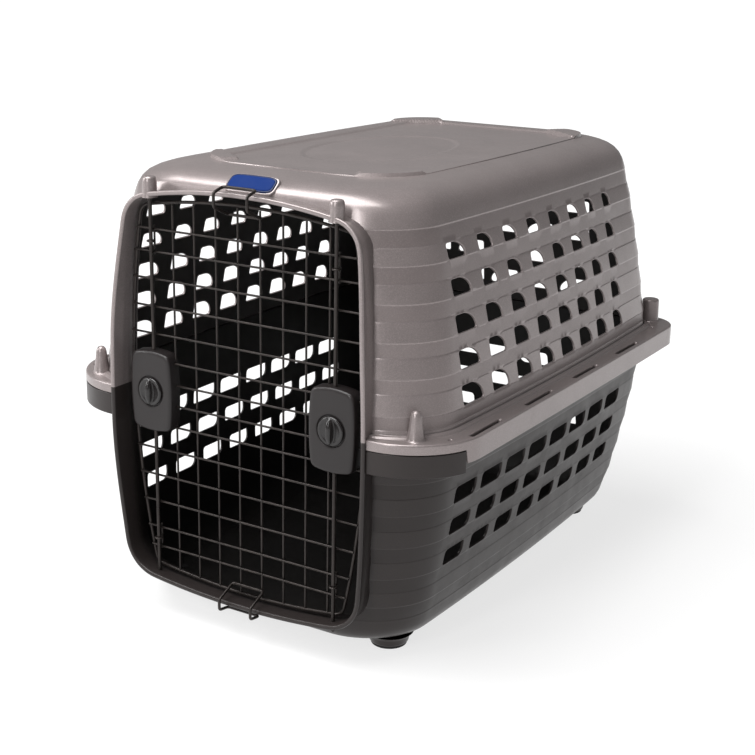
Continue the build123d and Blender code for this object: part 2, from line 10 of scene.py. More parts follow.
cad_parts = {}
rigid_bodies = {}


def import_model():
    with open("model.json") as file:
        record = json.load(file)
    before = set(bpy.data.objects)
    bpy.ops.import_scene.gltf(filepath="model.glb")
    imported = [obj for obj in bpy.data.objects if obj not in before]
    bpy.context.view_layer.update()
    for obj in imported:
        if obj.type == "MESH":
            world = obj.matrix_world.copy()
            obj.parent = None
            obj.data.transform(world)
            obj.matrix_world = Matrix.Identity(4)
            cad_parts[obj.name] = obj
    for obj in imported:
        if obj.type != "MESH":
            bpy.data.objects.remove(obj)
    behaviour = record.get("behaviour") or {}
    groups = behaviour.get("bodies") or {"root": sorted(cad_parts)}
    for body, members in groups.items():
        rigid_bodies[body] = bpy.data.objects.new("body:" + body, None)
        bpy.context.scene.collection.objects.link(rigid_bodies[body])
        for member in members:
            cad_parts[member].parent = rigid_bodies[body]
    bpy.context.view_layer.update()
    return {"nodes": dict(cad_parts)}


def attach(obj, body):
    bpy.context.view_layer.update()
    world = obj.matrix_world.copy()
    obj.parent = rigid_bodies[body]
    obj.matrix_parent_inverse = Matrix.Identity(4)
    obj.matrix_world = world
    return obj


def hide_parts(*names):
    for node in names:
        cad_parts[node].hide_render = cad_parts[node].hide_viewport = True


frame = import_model()
NODES = frame["nodes"]
MM = 0.001

ARC_HANDLE = 0.5523  # handle length of a cubic that follows a quarter circle
HALF_LENGTH = 339.0  # half length over which the side walls bow
ROD_X, ROD_Y = 129.6, -334.4  # the latch rods' lines
DIAL_Z = 288.0
PARTING_Z = 287.0  # where the two collars meet
UPPER_LEDGE_Z, LOWER_LEDGE_Z = 290.6, 284.0  # flat faces of the two flanges
FLOOR_UNDER_Z, FLOOR_TOP_Z = 16.0, 19.0
LATCH_FACE_Y = -343.0

# ------------------------------------------------------------------ materials


def srgb(r, g, b):
    """Linear colour from 0-255 display values."""
    def lin(c):
        c = c / 255
        return c / 12.92 if c <= 0.04045 else ((c + 0.055) / 1.055) ** 2.4
    return (lin(r), lin(g), lin(b), 1.0)


class Nodes:
    """Small helper that adds and links shader nodes."""

    def __init__(self, name):
        self.mat = bpy.data.materials.new(name)
        self.mat.use_nodes = True
        self.tree = self.mat.node_tree
        self.bsdf = self.tree.nodes["Principled BSDF"]

    def add(self, kind, **values):
        node = self.tree.nodes.new(kind)
        for key, value in values.items():
            if hasattr(node, key):
                setattr(node, key, value)
            else:
                node.inputs[key.replace("_", " ")].default_value = value
        return node

    def link(self, a, out, b, inp):
        self.tree.links.new(a.outputs[out], b.inputs[inp])

    def ramp(self, source, out, stops):
        node = self.add("ShaderNodeValToRGB")
        ramp = node.color_ramp
        while len(ramp.elements) < len(stops):
            ramp.elements.new(0.5)
        for element, (pos, colour) in zip(ramp.elements, stops):
            element.position = pos
            element.color = colour
        self.link(source, out, node, "Fac")
        return node

    def coords(self, scale=1.0):
        tex = self.add("ShaderNodeTexCoord")
        mapping = self.add("ShaderNodeMapping")
        mapping.inputs["Scale"].default_value = (scale, scale, scale)
        self.link(tex, "Object", mapping, "Vector")
        return mapping

    def noise(self, coords, scale, detail=3.0, roughness=0.5):
        node = self.add("ShaderNodeTexNoise")
        node.inputs["Scale"].default_value = scale
        node.inputs["Detail"].default_value = detail
        node.inputs["Roughness"].default_value = roughness
        self.link(coords, "Vector", node, "Vector")
        return node

    def bumps(self, sources):
        """Chain of bump nodes from (node, output, strength, distance)."""
        last = None
        for node, out, strength, distance in sources:
            bump = self.add("ShaderNodeBump")
            bump.inputs["Strength"].default_value = strength
            bump.inputs["Distance"].default_value = distance
            self.link(node, out, bump, "Height")
            if last:
                self.link(last, "Normal", bump, "Normal")
            last = bump
        self.link(last, "Normal", self.bsdf, "Normal")


def scaled(colour, k):
    return (colour[0] * k, colour[1] * k, colour[2] * k, 1.0)


def grey(value):
    return (value, value, value, 1)


def plastic(name, colour, metallic, rough, coat, grain, flake=0.0, shine=0.32):
    """Moulded plastic with fine grain, faint mottling and optional metal flake."""
    n = Nodes(name)
    base = n.coords()
    mottle = n.noise(base, 9.0, 4.0, 0.6)
    tone = n.ramp(mottle, "Fac", [(0.3, scaled(colour, 0.93)), (0.7, scaled(colour, 1.07))])
    last, out = tone, "Color"
    if flake:
        cells = n.add("ShaderNodeTexVoronoi")
        cells.inputs["Scale"].default_value = 1500.0
        n.link(base, "Vector", cells, "Vector")
        spark = n.ramp(cells, "Color", [(0.45, grey(0.0)), (0.95, grey(1.0))])
        mix = n.add("ShaderNodeMix", data_type="RGBA")
        mix.inputs[7].default_value = scaled(colour, 1.0 + flake)
        n.link(spark, "Color", mix, 0)
        n.link(last, out, mix, 6)
        last, out = mix, 2
    n.link(last, out, n.bsdf, "Base Color")
    wear = n.noise(base, 28.0, 5.0, 0.65)
    gloss = n.ramp(wear, "Fac", [(0.3, grey(rough * 0.85)), (0.75, grey(rough * 1.18))])
    n.link(gloss, "Color", n.bsdf, "Roughness")
    n.bsdf.inputs["Metallic"].default_value = metallic
    n.bsdf.inputs["Coat Weight"].default_value = coat
    n.bsdf.inputs["Coat Roughness"].default_value = 0.18
    n.bsdf.inputs["Specular IOR Level"].default_value = shine
    fine = n.noise(base, 900.0, 2.0, 0.5)
    soft = n.noise(base, 14.0, 2.0, 0.5)
    n.bumps([(fine, "Fac", grain, 0.0002), (soft, "Fac", 0.05, 0.002)])
    return n.mat


def wire_paint(name, colour):
    """Dark powder coat on wire, with a slightly uneven sheen."""
    n = Nodes(name)
    base = n.coords()
    mottle = n.noise(base, 60.0, 4.0, 0.6)
    tone = n.ramp(mottle, "Fac", [(0.35, scaled(colour, 0.8)), (0.7, scaled(colour, 1.35))])
    n.link(tone, "Color", n.bsdf, "Base Color")
    gloss = n.ramp(mottle, "Fac", [(0.3, grey(0.26)), (0.7, grey(0.40))])
    n.link(gloss, "Color", n.bsdf, "Roughness")
    n.bsdf.inputs["Metallic"].default_value = 0.55
    fine = n.noise(base, 700.0, 3.0, 0.6)
    n.bumps([(fine, "Fac", 0.25, 0.0003)])
    return n.mat


def metal(name, colour, rough):
    """Plated fastener steel with fine turning marks."""
    n = Nodes(name)
    base = n.coords()
    marks = n.noise(base, 400.0, 4.0, 0.7)
    tone = n.ramp(marks, "Fac", [(0.3, scaled(colour, 0.8)), (0.7, scaled(colour, 1.1))])
    n.link(tone, "Color", n.bsdf, "Base Color")
    n.bsdf.inputs["Metallic"].default_value = 1.0
    n.bsdf.inputs["Roughness"].default_value = rough
    n.bumps([(marks, "Fac", 0.2, 0.0003)])
    return n.mat


TAUPE = plastic("mat_upper_plastic", srgb(134, 125, 124), 0.45, 0.33, 0.3, 0.08, 0.3)
DARK = plastic("mat_lower_plastic", srgb(42, 37, 36), 0.2, 0.36, 0.08, 0.12, 0.2)
# band materials: rougher, grainier plastic with less coat, and a darker colour that is painted shade of the
# tilted bands
TAUPE_BAND_PAINTED_SHADE = plastic("mat_upper_plastic_band_painted_shade", srgb(122, 113, 112), 0.45, 0.39, 0.2, 0.2, 0.25)
DARK_BAND_PAINTED_SHADE = plastic("mat_lower_plastic_band_painted_shade", srgb(39, 34, 33), 0.2, 0.42, 0.04, 0.2, 0.15)
# inside materials: duller, much darker copies of the shell plastics for the inner skins, painted shade of
# the interior
TAUPE_INSIDE_PAINTED_SHADE = plastic("mat_upper_plastic_inside_painted_shade", srgb(40, 37, 36), 0.1, 0.55, 0.0, 0.3)
DARK_INSIDE_PAINTED_SHADE = plastic("mat_lower_plastic_inside_painted_shade", srgb(22, 20, 19), 0.1, 0.55, 0.0, 0.3)
LATCH = plastic("mat_latch_plastic", srgb(31, 27, 27), 0.0, 0.42, 0.12, 0.25)
DIAL = plastic("mat_dial_plastic", srgb(24, 21, 21), 0.0, 0.26, 0.4, 0.10)
BADGE = plastic("mat_badge", srgb(5, 38, 96), 0.0, 0.6, 0.0, 0.05, shine=0.08)
BADGE_RIM = plastic("mat_badge_rim", srgb(8, 26, 62), 0.0, 0.4, 0.1, 0.05, shine=0.15)
RUBBER = plastic("mat_pad_rubber", srgb(34, 33, 33), 0.0, 0.7, 0.0, 0.5)
WIRE = wire_paint("mat_door_wire", srgb(44, 39, 37))
STEEL = metal("mat_screw_steel", (0.55, 0.55, 0.55, 1), 0.35)

# ------------------------------------------------------------------ mesh helpers


def linked(name, data):
    """New object in the scene."""
    obj = bpy.data.objects.new(name, data)
    bpy.context.scene.collection.objects.link(obj)
    return obj


def place(name, data, mat, body):
    """New object with its material, riding on a body."""
    obj = linked(name, data)
    data.materials.append(mat)
    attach(obj, body)
    return obj


def make_mesh(name, verts, faces, mat, body, normals=None):
    """Mesh object from millimetre points, riding on a body."""
    mesh = bpy.data.meshes.new(name)
    points = [tuple(v) for v in np.asarray(verts, float) * MM]
    mesh.from_pydata(points, [], [tuple(int(i) for i in f) for f in faces])
    mesh.validate()
    mesh.update()
    mesh.polygons.foreach_set("use_smooth", [True] * len(mesh.polygons))
    if normals is not None:
        mesh.normals_split_custom_set_from_vertices([tuple(n) for n in normals])
    return place(name, mesh, mat, body)


def ring_faces(rows, count):
    """Quads between successive closed rows of count points."""
    faces = []
    for i in range(rows - 1):
        for k in range(count):
            j = (k + 1) % count
            faces.append((i * count + k, i * count + j, (i + 1) * count + j, (i + 1) * count + k))
    return faces


def cubic(p0, p1, p2, p3, s):
    """Point at s on a cubic, for one coordinate or for whole points."""
    return (1 - s)**3 * p0 + 3 * s * (1 - s)**2 * p1 + 3 * s**2 * (1 - s) * p2 + s**3 * p3


def unit(vectors):
    """Rows scaled to length 1."""
    return vectors / np.maximum(np.linalg.norm(vectors, axis=1), 1e-9)[:, None]


def closed(loop):
    """Loop with its first point repeated, and the distance along it of every point."""
    pts = np.vstack([loop, loop[:1]])
    return pts, np.concatenate([[0], np.cumsum(np.hypot(*np.diff(pts, axis=0).T))])


def along(at, s, pts):
    """Points of a line at given distances along it."""
    return np.stack([np.interp(at, s, pts[:, 0]), np.interp(at, s, pts[:, 1])], 1)


def same_count(loop, count):
    """Closed loop with a given number of evenly spaced points."""
    pts, s = closed(loop)
    return along(np.linspace(0, s[-1], count, endpoint=False), s, pts)


def loop_normals(loop):
    """Outward normals of a closed counter-clockwise loop."""
    tan = unit(np.roll(loop, -1, 0) - np.roll(loop, 1, 0))
    return np.stack([tan[:, 1], -tan[:, 0]], 1)


def grid_points(xs, ys):
    """Every pair of the two lists as points."""
    gx, gy = np.meshgrid(xs, ys)
    return np.stack([gx.ravel(), gy.ravel()], 1)


def lifted(plan, z):
    """Plan points with a third coordinate, the same for all or one for each."""
    return np.concatenate([plan, np.broadcast_to(np.reshape(z, (-1, 1)), (len(plan), 1))], 1)


class Build:
    """Collects points, normals and faces for one mesh."""

    def __init__(self):
        self.v, self.n, self.f = [], [], []
        self.count = 0

    def points(self, pts, normals):
        first = self.count
        pts = np.asarray(pts, float).reshape(-1, 3)
        normals = np.asarray(normals, float).reshape(-1, 3)
        self.v.append(pts)
        self.n.append(normals)
        self.count += len(pts)
        return np.arange(first, self.count)

    def strip(self, rows, flip=False):
        """Quads between each closed row of point indices and the next."""
        for a, b in zip(rows, rows[1:]):
            for i in range(len(a)):
                j = (i + 1) % len(a)
                quad = (a[i], a[j], b[j], b[i])
                self.f.append(quad[::-1] if flip else quad)

    def tris(self, faces, flip=False):
        for f in faces:
            self.f.append(tuple(f)[::-1] if flip else tuple(f))

    def done(self, name, mat, body, use_normals=True):
        verts = np.concatenate(self.v)
        normals = np.concatenate(self.n)
        return make_mesh(name, verts, self.f, mat, body, normals if use_normals else None)


def inside(poly, pts):
    """Which points lie inside a closed polygon."""
    x, y = pts[:, 0], pts[:, 1]
    hit = np.zeros(len(pts), bool)
    px, py = poly[:, 0], poly[:, 1]
    for i in range(len(poly)):
        j = i - 1
        cross = (py[i] > y) != (py[j] > y)
        with np.errstate(divide="ignore", invalid="ignore"):
            at = (px[j] - px[i]) * (y - py[i]) / (py[j] - py[i]) + px[i]
        hit ^= cross & (x < at)
    return hit


def near(poly, pts, gap):
    """Which points lie within a gap of a polygon's edges."""
    close = np.zeros(len(pts), bool)
    for i in range(len(poly)):
        a, b = poly[i - 1], poly[i]
        d = b - a
        t = np.clip(((pts - a) @ d) / max(d @ d, 1e-9), 0, 1)
        close |= np.hypot(*(pts - a - t[:, None] * d).T) < gap
    return close


def triangulate(grid, loops, holes, gap=2.2, outer=None):
    """Triangles over grid points with hole loops kept as edges."""
    pts = np.asarray(grid, float)
    keep = np.ones(len(pts), bool)
    for loop, clear in zip(loops, holes):
        low, high = loop.min(0) - gap, loop.max(0) + gap
        local = np.where(((pts > low) & (pts < high)).all(1))[0]
        if len(local):
            bad = near(loop, pts[local], gap)
            if clear:
                bad |= inside(loop, pts[local])
            keep[local[bad]] = False
    if outer is not None:
        keep &= inside(outer, pts) & ~near(outer, pts, gap)
    pts = pts[keep]
    verts = [Vector((float(x), float(y))) for x, y in pts]
    edges = []
    rings = list(loops) + ([outer] if outer is not None else [])
    for loop in rings:
        first = len(verts)
        verts += [Vector((float(x), float(y))) for x, y in loop]
        edges += [(first + i, first + (i + 1) % len(loop)) for i in range(len(loop))]
    out_v, _, out_f, orig, _, _ = delaunay_2d_cdt(verts, edges, [], 0, 1e-5)
    xy = np.array([(v.x, v.y) for v in out_v])
    faces = np.array([f for f in out_f if len(f) == 3])
    centre = xy[faces].mean(1)
    good = np.ones(len(faces), bool)
    for loop, clear in zip(loops, holes):
        if clear:
            low, high = loop.min(0), loop.max(0)
            local = np.where(((centre > low) & (centre < high)).all(1))[0]
            if len(local):
                good[local[inside(loop, centre[local])]] = False
    if outer is not None:
        good &= inside(outer, centre)
    faces = faces[good]
    index = {}
    for new, sources in enumerate(orig):
        for s in sources:
            index[s] = new
    ring_ids, first = [], len(pts)
    for loop in rings:
        ring_ids.append(np.array([index[first + i] for i in range(len(loop))]))
        first += len(loop)
    area = np.cross(xy[faces[:, 1]] - xy[faces[:, 0]], xy[faces[:, 2]] - xy[faces[:, 0]])
    faces[area < 0] = faces[area < 0][:, ::-1]
    return xy, faces, ring_ids


# ------------------------------------------------------------------ shell shape

# stations of each shell: height, half width, front y, rear y
UPPER = np.array([
    (290.0, 253.1, -338.9, 339.9), (324.0, 248.5, -337.0, 338.0), (403.0, 236.6, -332.0, 333.0),
    (483.0, 220.6, -326.0, 327.0), (510.0, 213.5, -324.0, 325.0), (528.0, 208.0, -321.0, 323.0),
    (540.0, 200.0, -317.0, 320.0), (548.0, 188.0, -307.0, 316.0), (553.0, 172.0, -286.0, 309.0),
    (556.0, 152.0, -246.0, 300.0),
])
LOWER = np.array([
    (287.0, 253.5, -339.0, 340.0), (206.0, 244.0, -336.0, 334.0), (165.0, 238.0, -334.0, 330.0),
    (125.0, 231.0, -332.0, 326.0), (85.0, 223.0, -329.0, 322.0), (50.0, 214.0, -325.0, 317.0),
    (32.0, 206.5, -319.0, 311.0), (22.0, 197.0, -311.0, 303.0), (16.0, 184.0, -298.0, 290.0),
])
BOW, R_FRONT, R_REAR = 9.0, 78.0, 54.0
# unrolled wall: front, corner, right side, rear corner, rear, rear corner, left side, corner
SEGMENTS = np.cumsum([0, 332, 122, 480, 85, 380, 85, 480, 122]).astype(float)
U_TOTAL = SEGMENTS[-1]
THICK = 3.0  # wall


def smooth_table(stations):
    """Dense smooth table of a shell's stations along its profile."""
    step = np.hypot(np.diff(stations[:, 0]), np.diff(stations[:, 1]))
    t = np.concatenate([[0], np.cumsum(step)])
    fine = np.linspace(0, t[-1], 600)
    columns = []
    for k in range(4):
        y = stations[:, k]
        slope = np.diff(y) / np.diff(t)
        tangent = np.empty(len(t))
        tangent[0], tangent[-1] = slope[0], slope[-1]
        for i in range(1, len(t) - 1):
            a, b = slope[i - 1], slope[i]
            tangent[i] = 0 if a * b <= 0 else 2 * a * b / (a + b)
        i = np.clip(np.searchsorted(t, fine, side="right") - 1, 0, len(t) - 2)
        h = t[i + 1] - t[i]
        s = (fine - t[i]) / h
        columns.append(
            (2 * s**3 - 3 * s**2 + 1) * y[i] + (s**3 - 2 * s**2 + s) * h * tangent[i]
            + (3 * s**2 - 2 * s**3) * y[i + 1] + (s**3 - s**2) * h * tangent[i + 1]
        )
    return fine, np.array(columns)


class Shell:
    """One moulded shell: maps (u, t) in the unrolled wall to space."""

    def __init__(self, stations, bands):
        self.t, self.table = smooth_table(stations)
        self.length = self.t[-1]
        self.bands = bands
        self.up = 1.0 if stations[-1, 0] > stations[0, 0] else -1.0

    def at(self, t):
        return [np.interp(t, self.t, row) for row in self.table]

    def t_of_z(self, z):
        zs = self.table[0] * self.up
        return np.interp(np.asarray(z) * self.up, zs, self.t)

    def plain(self, u, t):
        """Point without bands."""
        z, w, yf, yr = self.at(t)
        u = np.mod(u, U_TOTAL)
        seg = np.clip(np.searchsorted(SEGMENTS, u, side="right") - 1, 0, 7)
        s = (u - SEGMENTS[seg]) / (SEGMENTS[seg + 1] - SEGMENTS[seg])
        span = HALF_LENGTH
        ya, yc = yf + R_FRONT, yr - R_REAR
        xa, xc = w - BOW * (ya / span) ** 2, w - BOW * (yc / span) ** 2
        xf = w - BOW * (yf / span) ** 2 - R_FRONT
        xr = w - BOW * (yr / span) ** 2 - R_REAR
        x, y = np.zeros_like(u), np.zeros_like(u)
        k = ARC_HANDLE
        slope_a, slope_c = -2 * BOW * ya / span**2, -2 * BOW * yc / span**2

        def put(index, bx, by):
            m = seg == index
            x[m], y[m] = bx[m], by[m]

        put(0, -xf + 2 * xf * s, yf)
        put(4, xr - 2 * xr * s, yr)
        for side, q, front, wall, rear in ((1, s, 1, 2, 3), (-1, 1 - s, 7, 6, 5)):
            put(front, side * cubic(xf, xf + k * R_FRONT, xa - slope_a * k * R_FRONT, xa, q),
                cubic(yf, yf, ya - k * R_FRONT, ya, q))
            yy = ya + (yc - ya) * q
            put(wall, side * (w - BOW * (yy / span) ** 2), yy)
            put(rear, side * cubic(xc, xc + slope_c * k * R_REAR, xr + k * R_REAR, xr, q),
                cubic(yc, yc + k * R_REAR, yr, yr, q))
        return np.stack([x, y, z], 1)

    def raw_normal(self, func, u, t):
        du = func(u + 0.35, t) - func(u - 0.35, t)
        lo, hi = np.maximum(t - 0.35, 0), np.minimum(t + 0.35, self.length)
        dt = func(u, hi) - func(u, lo)
        return unit(np.cross(du, dt) * self.up)

    def outer(self, u, t):
        """Point on the outer skin with its shallow stepped bands."""
        p = self.plain(u, t)
        n = self.raw_normal(self.plain, u, t)
        return p + n * self.bands(p[:, 2])[:, None]

    def outer_normal(self, u, t):
        return self.raw_normal(self.outer, u, t)

    def inner(self, u, t, depth=THICK):
        return self.plain(u, t) - depth * self.raw_normal(self.plain, u, t)

    def u_of_side(self, y, z, side):
        """Unrolled place of a side wall point."""
        t = self.t_of_z(z)
        _, w, yf, yr = self.at(t)
        ya, yc = yf + R_FRONT, yr - R_REAR
        q = (y - ya) / (yc - ya)
        if side > 0:
            u = SEGMENTS[2] + q * (SEGMENTS[3] - SEGMENTS[2])
        else:
            u = SEGMENTS[7] - q * (SEGMENTS[7] - SEGMENTS[6])
        return np.stack([u, t], 1)

    def u_of_rear(self, x, z):
        t = self.t_of_z(z)
        _, w, yf, yr = self.at(t)
        xr = w - BOW * (yr / HALF_LENGTH) ** 2 - R_REAR
        q = (xr - x) / (2 * xr)
        return np.stack([SEGMENTS[4] + q * (SEGMENTS[5] - SEGMENTS[4]), t], 1)

    def u_of_front(self, x, z):
        """Unrolled place of a front wall or front corner point, by its x."""
        t = self.t_of_z(z)
        grid = np.linspace(-100, SEGMENTS[1] + 100, 1065)
        out = np.empty(len(x))
        for i in range(len(x)):
            xs = self.plain(grid, np.full(len(grid), t[i]))[:, 0]
            out[i] = np.interp(x[i], xs, grid)
        return np.stack([out, t], 1)


def soft_step(x, width):
    """0 to 1 over a width centred on 0, soft at both ends."""
    s = np.clip(x / width + 0.5, 0, 1)
    return s * s * (3 - 2 * s)


def band_wave(z, edges, width=1.6):
    """1 inside alternate bands between the edges, soft at each edge."""
    total = np.zeros_like(z)
    for low, high in edges:
        total += soft_step(z - low, width) - soft_step(z - high, width)
    return total


# vent rows as (height, width, depth), then each column's share of the width and shift
UPPER_ROWS = [
    (484.8, 37.0, 17.5), (444.9, 40.0, 18.5), (404.4, 42.0, 20.0), (364.8, 43.5, 21.0), (324.6, 45.0, 22.0),
]
LOWER_ROWS = [(204.4, 50.0, 19.0), (163.3, 46.0, 18.5), (123.0, 44.0, 18.0)]
UPPER_SHARE = [1.0, 0.86, 0.84, 0.82, 0.82, 0.84, 0.72, 0.68]
UPPER_SHIFT = [0.0, 4.0, 4.0, 4.0, 3.5, 0.0, -7.0, -11.0]


def bands_between(rows, above, below):
    """Bands between the vent rows, with one above the top row and some below."""
    spans = [(low[0] + low[2] / 2 + 1.5, high[0] - high[2] / 2 - 1.0)
             for high, low in zip(rows, rows[1:])]
    top = rows[0][0] + rows[0][2] / 2 + 1.0
    return [(top, top + above)] + spans + below


UPPER_BANDS = bands_between(UPPER_ROWS, 19.0, [(297.5, 312.5)])
LOWER_BANDS = bands_between(LOWER_ROWS, 19.0, [(93.0, 112.5), (54.0, 74.0)])


def zigzag(z, bands, depth):
    """Clapboard profile: bands lean back going down, the stretches between lean out."""
    knots, values = [], []
    for low, high in sorted(bands):
        knots += [low, high]
        values += [-depth, 0.0]
    return np.interp(z, knots, values)


def stepped(z, bands, fade):
    """Stepped bands of a wall, faded out towards one end."""
    return (zigzag(z, bands, 1.3) - 0.45 * band_wave(z, bands)) * fade


def rounded(corners, per=6):
    """Closed outline from (x, y, radius) corners, arcs sampled."""
    out = []
    count = len(corners)
    for i in range(count):
        p0, p, p1 = (np.array(corners[j][:2], float) for j in (i - 1, i, (i + 1) % count))
        r = corners[i][2]
        a, b = (p0 - p) / np.linalg.norm(p0 - p), (p1 - p) / np.linalg.norm(p1 - p)
        half = math.acos(np.clip(a @ b, -1, 1)) / 2
        cut = r / math.tan(half)
        centre = p + (a + b) / np.linalg.norm(a + b) * r / math.sin(half)
        start, end = p + a * cut - centre, p + b * cut - centre
        a0 = math.atan2(start[1], start[0])
        a1 = math.atan2(end[1], end[0])
        turn = (a1 - a0 + math.pi) % (2 * math.pi) - math.pi
        steps = max(2, int(per * max(1, r / 4)))
        for k in range(steps + 1):
            ang = a0 + turn * k / steps
            out.append(centre + r * np.array([math.cos(ang), math.sin(ang)]))
    return np.array(out)


def resample(loop, step):
    """Closed loop with points about one step apart."""
    pts = np.vstack([loop, loop[:1]])
    seg = np.hypot(*np.diff(pts, axis=0).T)
    pts = pts[np.concatenate([[True], seg > 1e-6])]
    seg = np.hypot(*np.diff(pts, axis=0).T)
    s = np.concatenate([[0], np.cumsum(seg)])
    count = max(12, int(round(s[-1] / step)))
    return along(np.linspace(0, s[-1], count, endpoint=False), s, pts)


def upper_vent(w, h):
    """D-shaped vent: (along, up), along is towards the rear."""
    l, r, b, t = -w / 2, w / 2, -h / 2, h / 2
    arc = []
    for k in range(13):
        a = math.pi / 2 * k / 12
        arc.append((r - w * 0.62 * (1 - math.cos(a)) ** 0.9, b + h * 0.18 + h * 0.82 * math.sin(a)))
    turn = np.linspace(0, math.pi / 2, 5)
    corner_rb = [(r - 3 + 3 * math.sin(a), b + 3 - 3 * math.cos(a)) for a in turn]
    corner_lt = [(l + 3 - 3 * math.sin(a), t - 3 + 3 * math.cos(a)) for a in turn]
    corner_lb = [(l + 2.5 - 2.5 * math.cos(a), b + 2.5 - 2.5 * math.sin(a)) for a in turn]
    return resample(np.array(corner_rb + arc + corner_lt + corner_lb), 2.2)


def lower_vent(w, h):
    """Leaf-shaped vent: points at its low front and high rear."""
    l, b = -w / 2, -h / 2
    return resample(rounded([
        (l, b, 1.6), (l + w * 0.97, b, h * 0.6), (l + w, b + h, 1.8), (l + w * 0.06, b + h, h * 0.32)]), 2.0)


def grow(loop, d):
    """Closed counter-clockwise loop moved outwards."""
    return loop + d * loop_normals(loop)


def door_outline(d, count=360):
    """Doorway outline in (x, z), grown by d, counter-clockwise from the right."""
    top, low = 534.0 + d, 44.0 - d
    sx, sz, hx, hz, mx = 158.0 + d, 517.0 + d, 163.0 + d, 57.0 - d, 176.0 + d

    def arc(p0, p1, p2, n=40):
        (ax, ay), (bx, by), (cx, cy) = p0, p1, p2
        dd = 2 * (ax * (by - cy) + bx * (cy - ay) + cx * (ay - by))
        ux = ((ax**2 + ay**2) * (by - cy) + (bx**2 + by**2) * (cy - ay) + (cx**2 + cy**2) * (ay - by)) / dd
        uy = ((ax**2 + ay**2) * (cx - bx) + (bx**2 + by**2) * (ax - cx) + (cx**2 + cy**2) * (bx - ax)) / dd
        r = math.hypot(ax - ux, ay - uy)
        a0, a1, a2 = (math.atan2(y - uy, x - ux) for x, y in (p0, p1, p2))
        full = (a2 - a0) % (2 * math.pi)
        if (a1 - a0) % (2 * math.pi) > full:
            full -= 2 * math.pi
        turns = [a0 + full * k / n for k in range(n)]
        return [(ux + r * math.cos(a), uy + r * math.sin(a)) for a in turns]

    corner = []
    for p0, p1, p2 in (((hx, hz), (mx, 290.0), (sx, sz)), ((sx, sz), (0, top), (-sx, sz)),
                       ((-sx, sz), (-mx, 290.0), (-hx, hz)), ((-hx, hz), (0, low), (hx, hz))):
        corner.append(np.array(arc(p0, p1, p2)))
    loop = np.vstack(corner)
    return round_corners(loop, [0, 40, 80, 120], [46 + d, 38 + d, 38 + d, 46 + d], count)


def round_corners(loop, corners, radii, count):
    """Rounds chosen corners of a sampled loop and resamples it."""
    pts, s = closed(loop)
    total = s[-1]

    def at(q):
        q = q % total
        return np.array([np.interp(q, s, pts[:, 0]), np.interp(q, s, pts[:, 1])])

    marks = []
    for c, r in zip(corners, radii):
        q = s[c]
        a, b = at(q - 4), at(q + 4)
        p = at(q)
        va, vb = (a - p) / np.linalg.norm(a - p), (b - p) / np.linalg.norm(b - p)
        half = math.acos(np.clip(va @ vb, -1, 1)) / 2
        cut = r / math.tan(half)
        marks.append((q, cut))
    out = []
    for k, (q, cut) in enumerate(marks):
        p0, p3 = at(q - cut), at(q + cut)
        t0 = at(q - cut) - at(q - cut - 1)
        t3 = at(q + cut + 1) - at(q + cut)
        t0 /= np.linalg.norm(t0)
        t3 /= np.linalg.norm(t3)
        angle = math.acos(np.clip(t0 @ t3, -1, 1))
        handle = 4 / 3 * math.tan(angle / 4) * radii[k]
        p1, p2 = p0 + t0 * handle, p3 - t3 * handle
        for i in range(13):
            out.append(cubic(p0, p1, p2, p3, i / 12))
        nq, ncut = marks[(k + 1) % len(marks)]
        end = nq - ncut if k < len(marks) - 1 else total + nq - ncut
        for f in np.linspace(q + cut, end, 60)[1:-1]:
            out.append(at(f))
    return same_count(np.array(out), count)


UPPER_COLUMNS = [(-224.0 + 61.2 * j + UPPER_SHIFT[j], UPPER_SHARE[j]) for j in range(8)]
LOWER_COLUMNS = [(-224.5 + 61.2 * j, 1.0) for j in range(8)]


def vent_loops(shell, rows, columns, shape):
    """Vent outlines of a shell in its unrolled wall, counter-clockwise."""
    loops = []
    for z, w, h in rows:
        for y, share in columns:
            base = shape(w * share, h)
            for side in (1, -1):
                uv = shell.u_of_side(y + base[:, 0], z + base[:, 1], side)
                loops.append(ccw(uv))
        base = shape(w, h)
        for col in range(5):
            x = (col - 2) * 58.0
            uv = shell.u_of_rear(x - base[:, 0], z + base[:, 1])
            loops.append(ccw(uv))
    return loops


def ccw(loop):
    """The loop turned counter-clockwise."""
    area = 0.5 * np.sum(loop[:, 0] * np.roll(loop[:, 1], -1) - np.roll(loop[:, 0], -1) * loop[:, 1])
    return loop if area > 0 else loop[::-1]


def wall_rows(shell, bands, spacing=9.0):
    """Heights of the wall's grid rows, closer together at each band edge."""
    rows = set(np.round(np.linspace(0, shell.length, int(shell.length / spacing)), 3))
    for low, high in bands:
        for edge in (low, high):
            t = float(shell.t_of_z(edge))
            rows.update(round(t + d, 3) for d in (-1.6, -0.8, 0, 0.8, 1.6))
    rows = sorted(r for r in rows if 0 <= r <= shell.length)
    out = [rows[0]]
    for r in rows[1:]:
        if r - out[-1] > 0.6:
            out.append(r)
    out[-1] = shell.length
    return np.array(out)


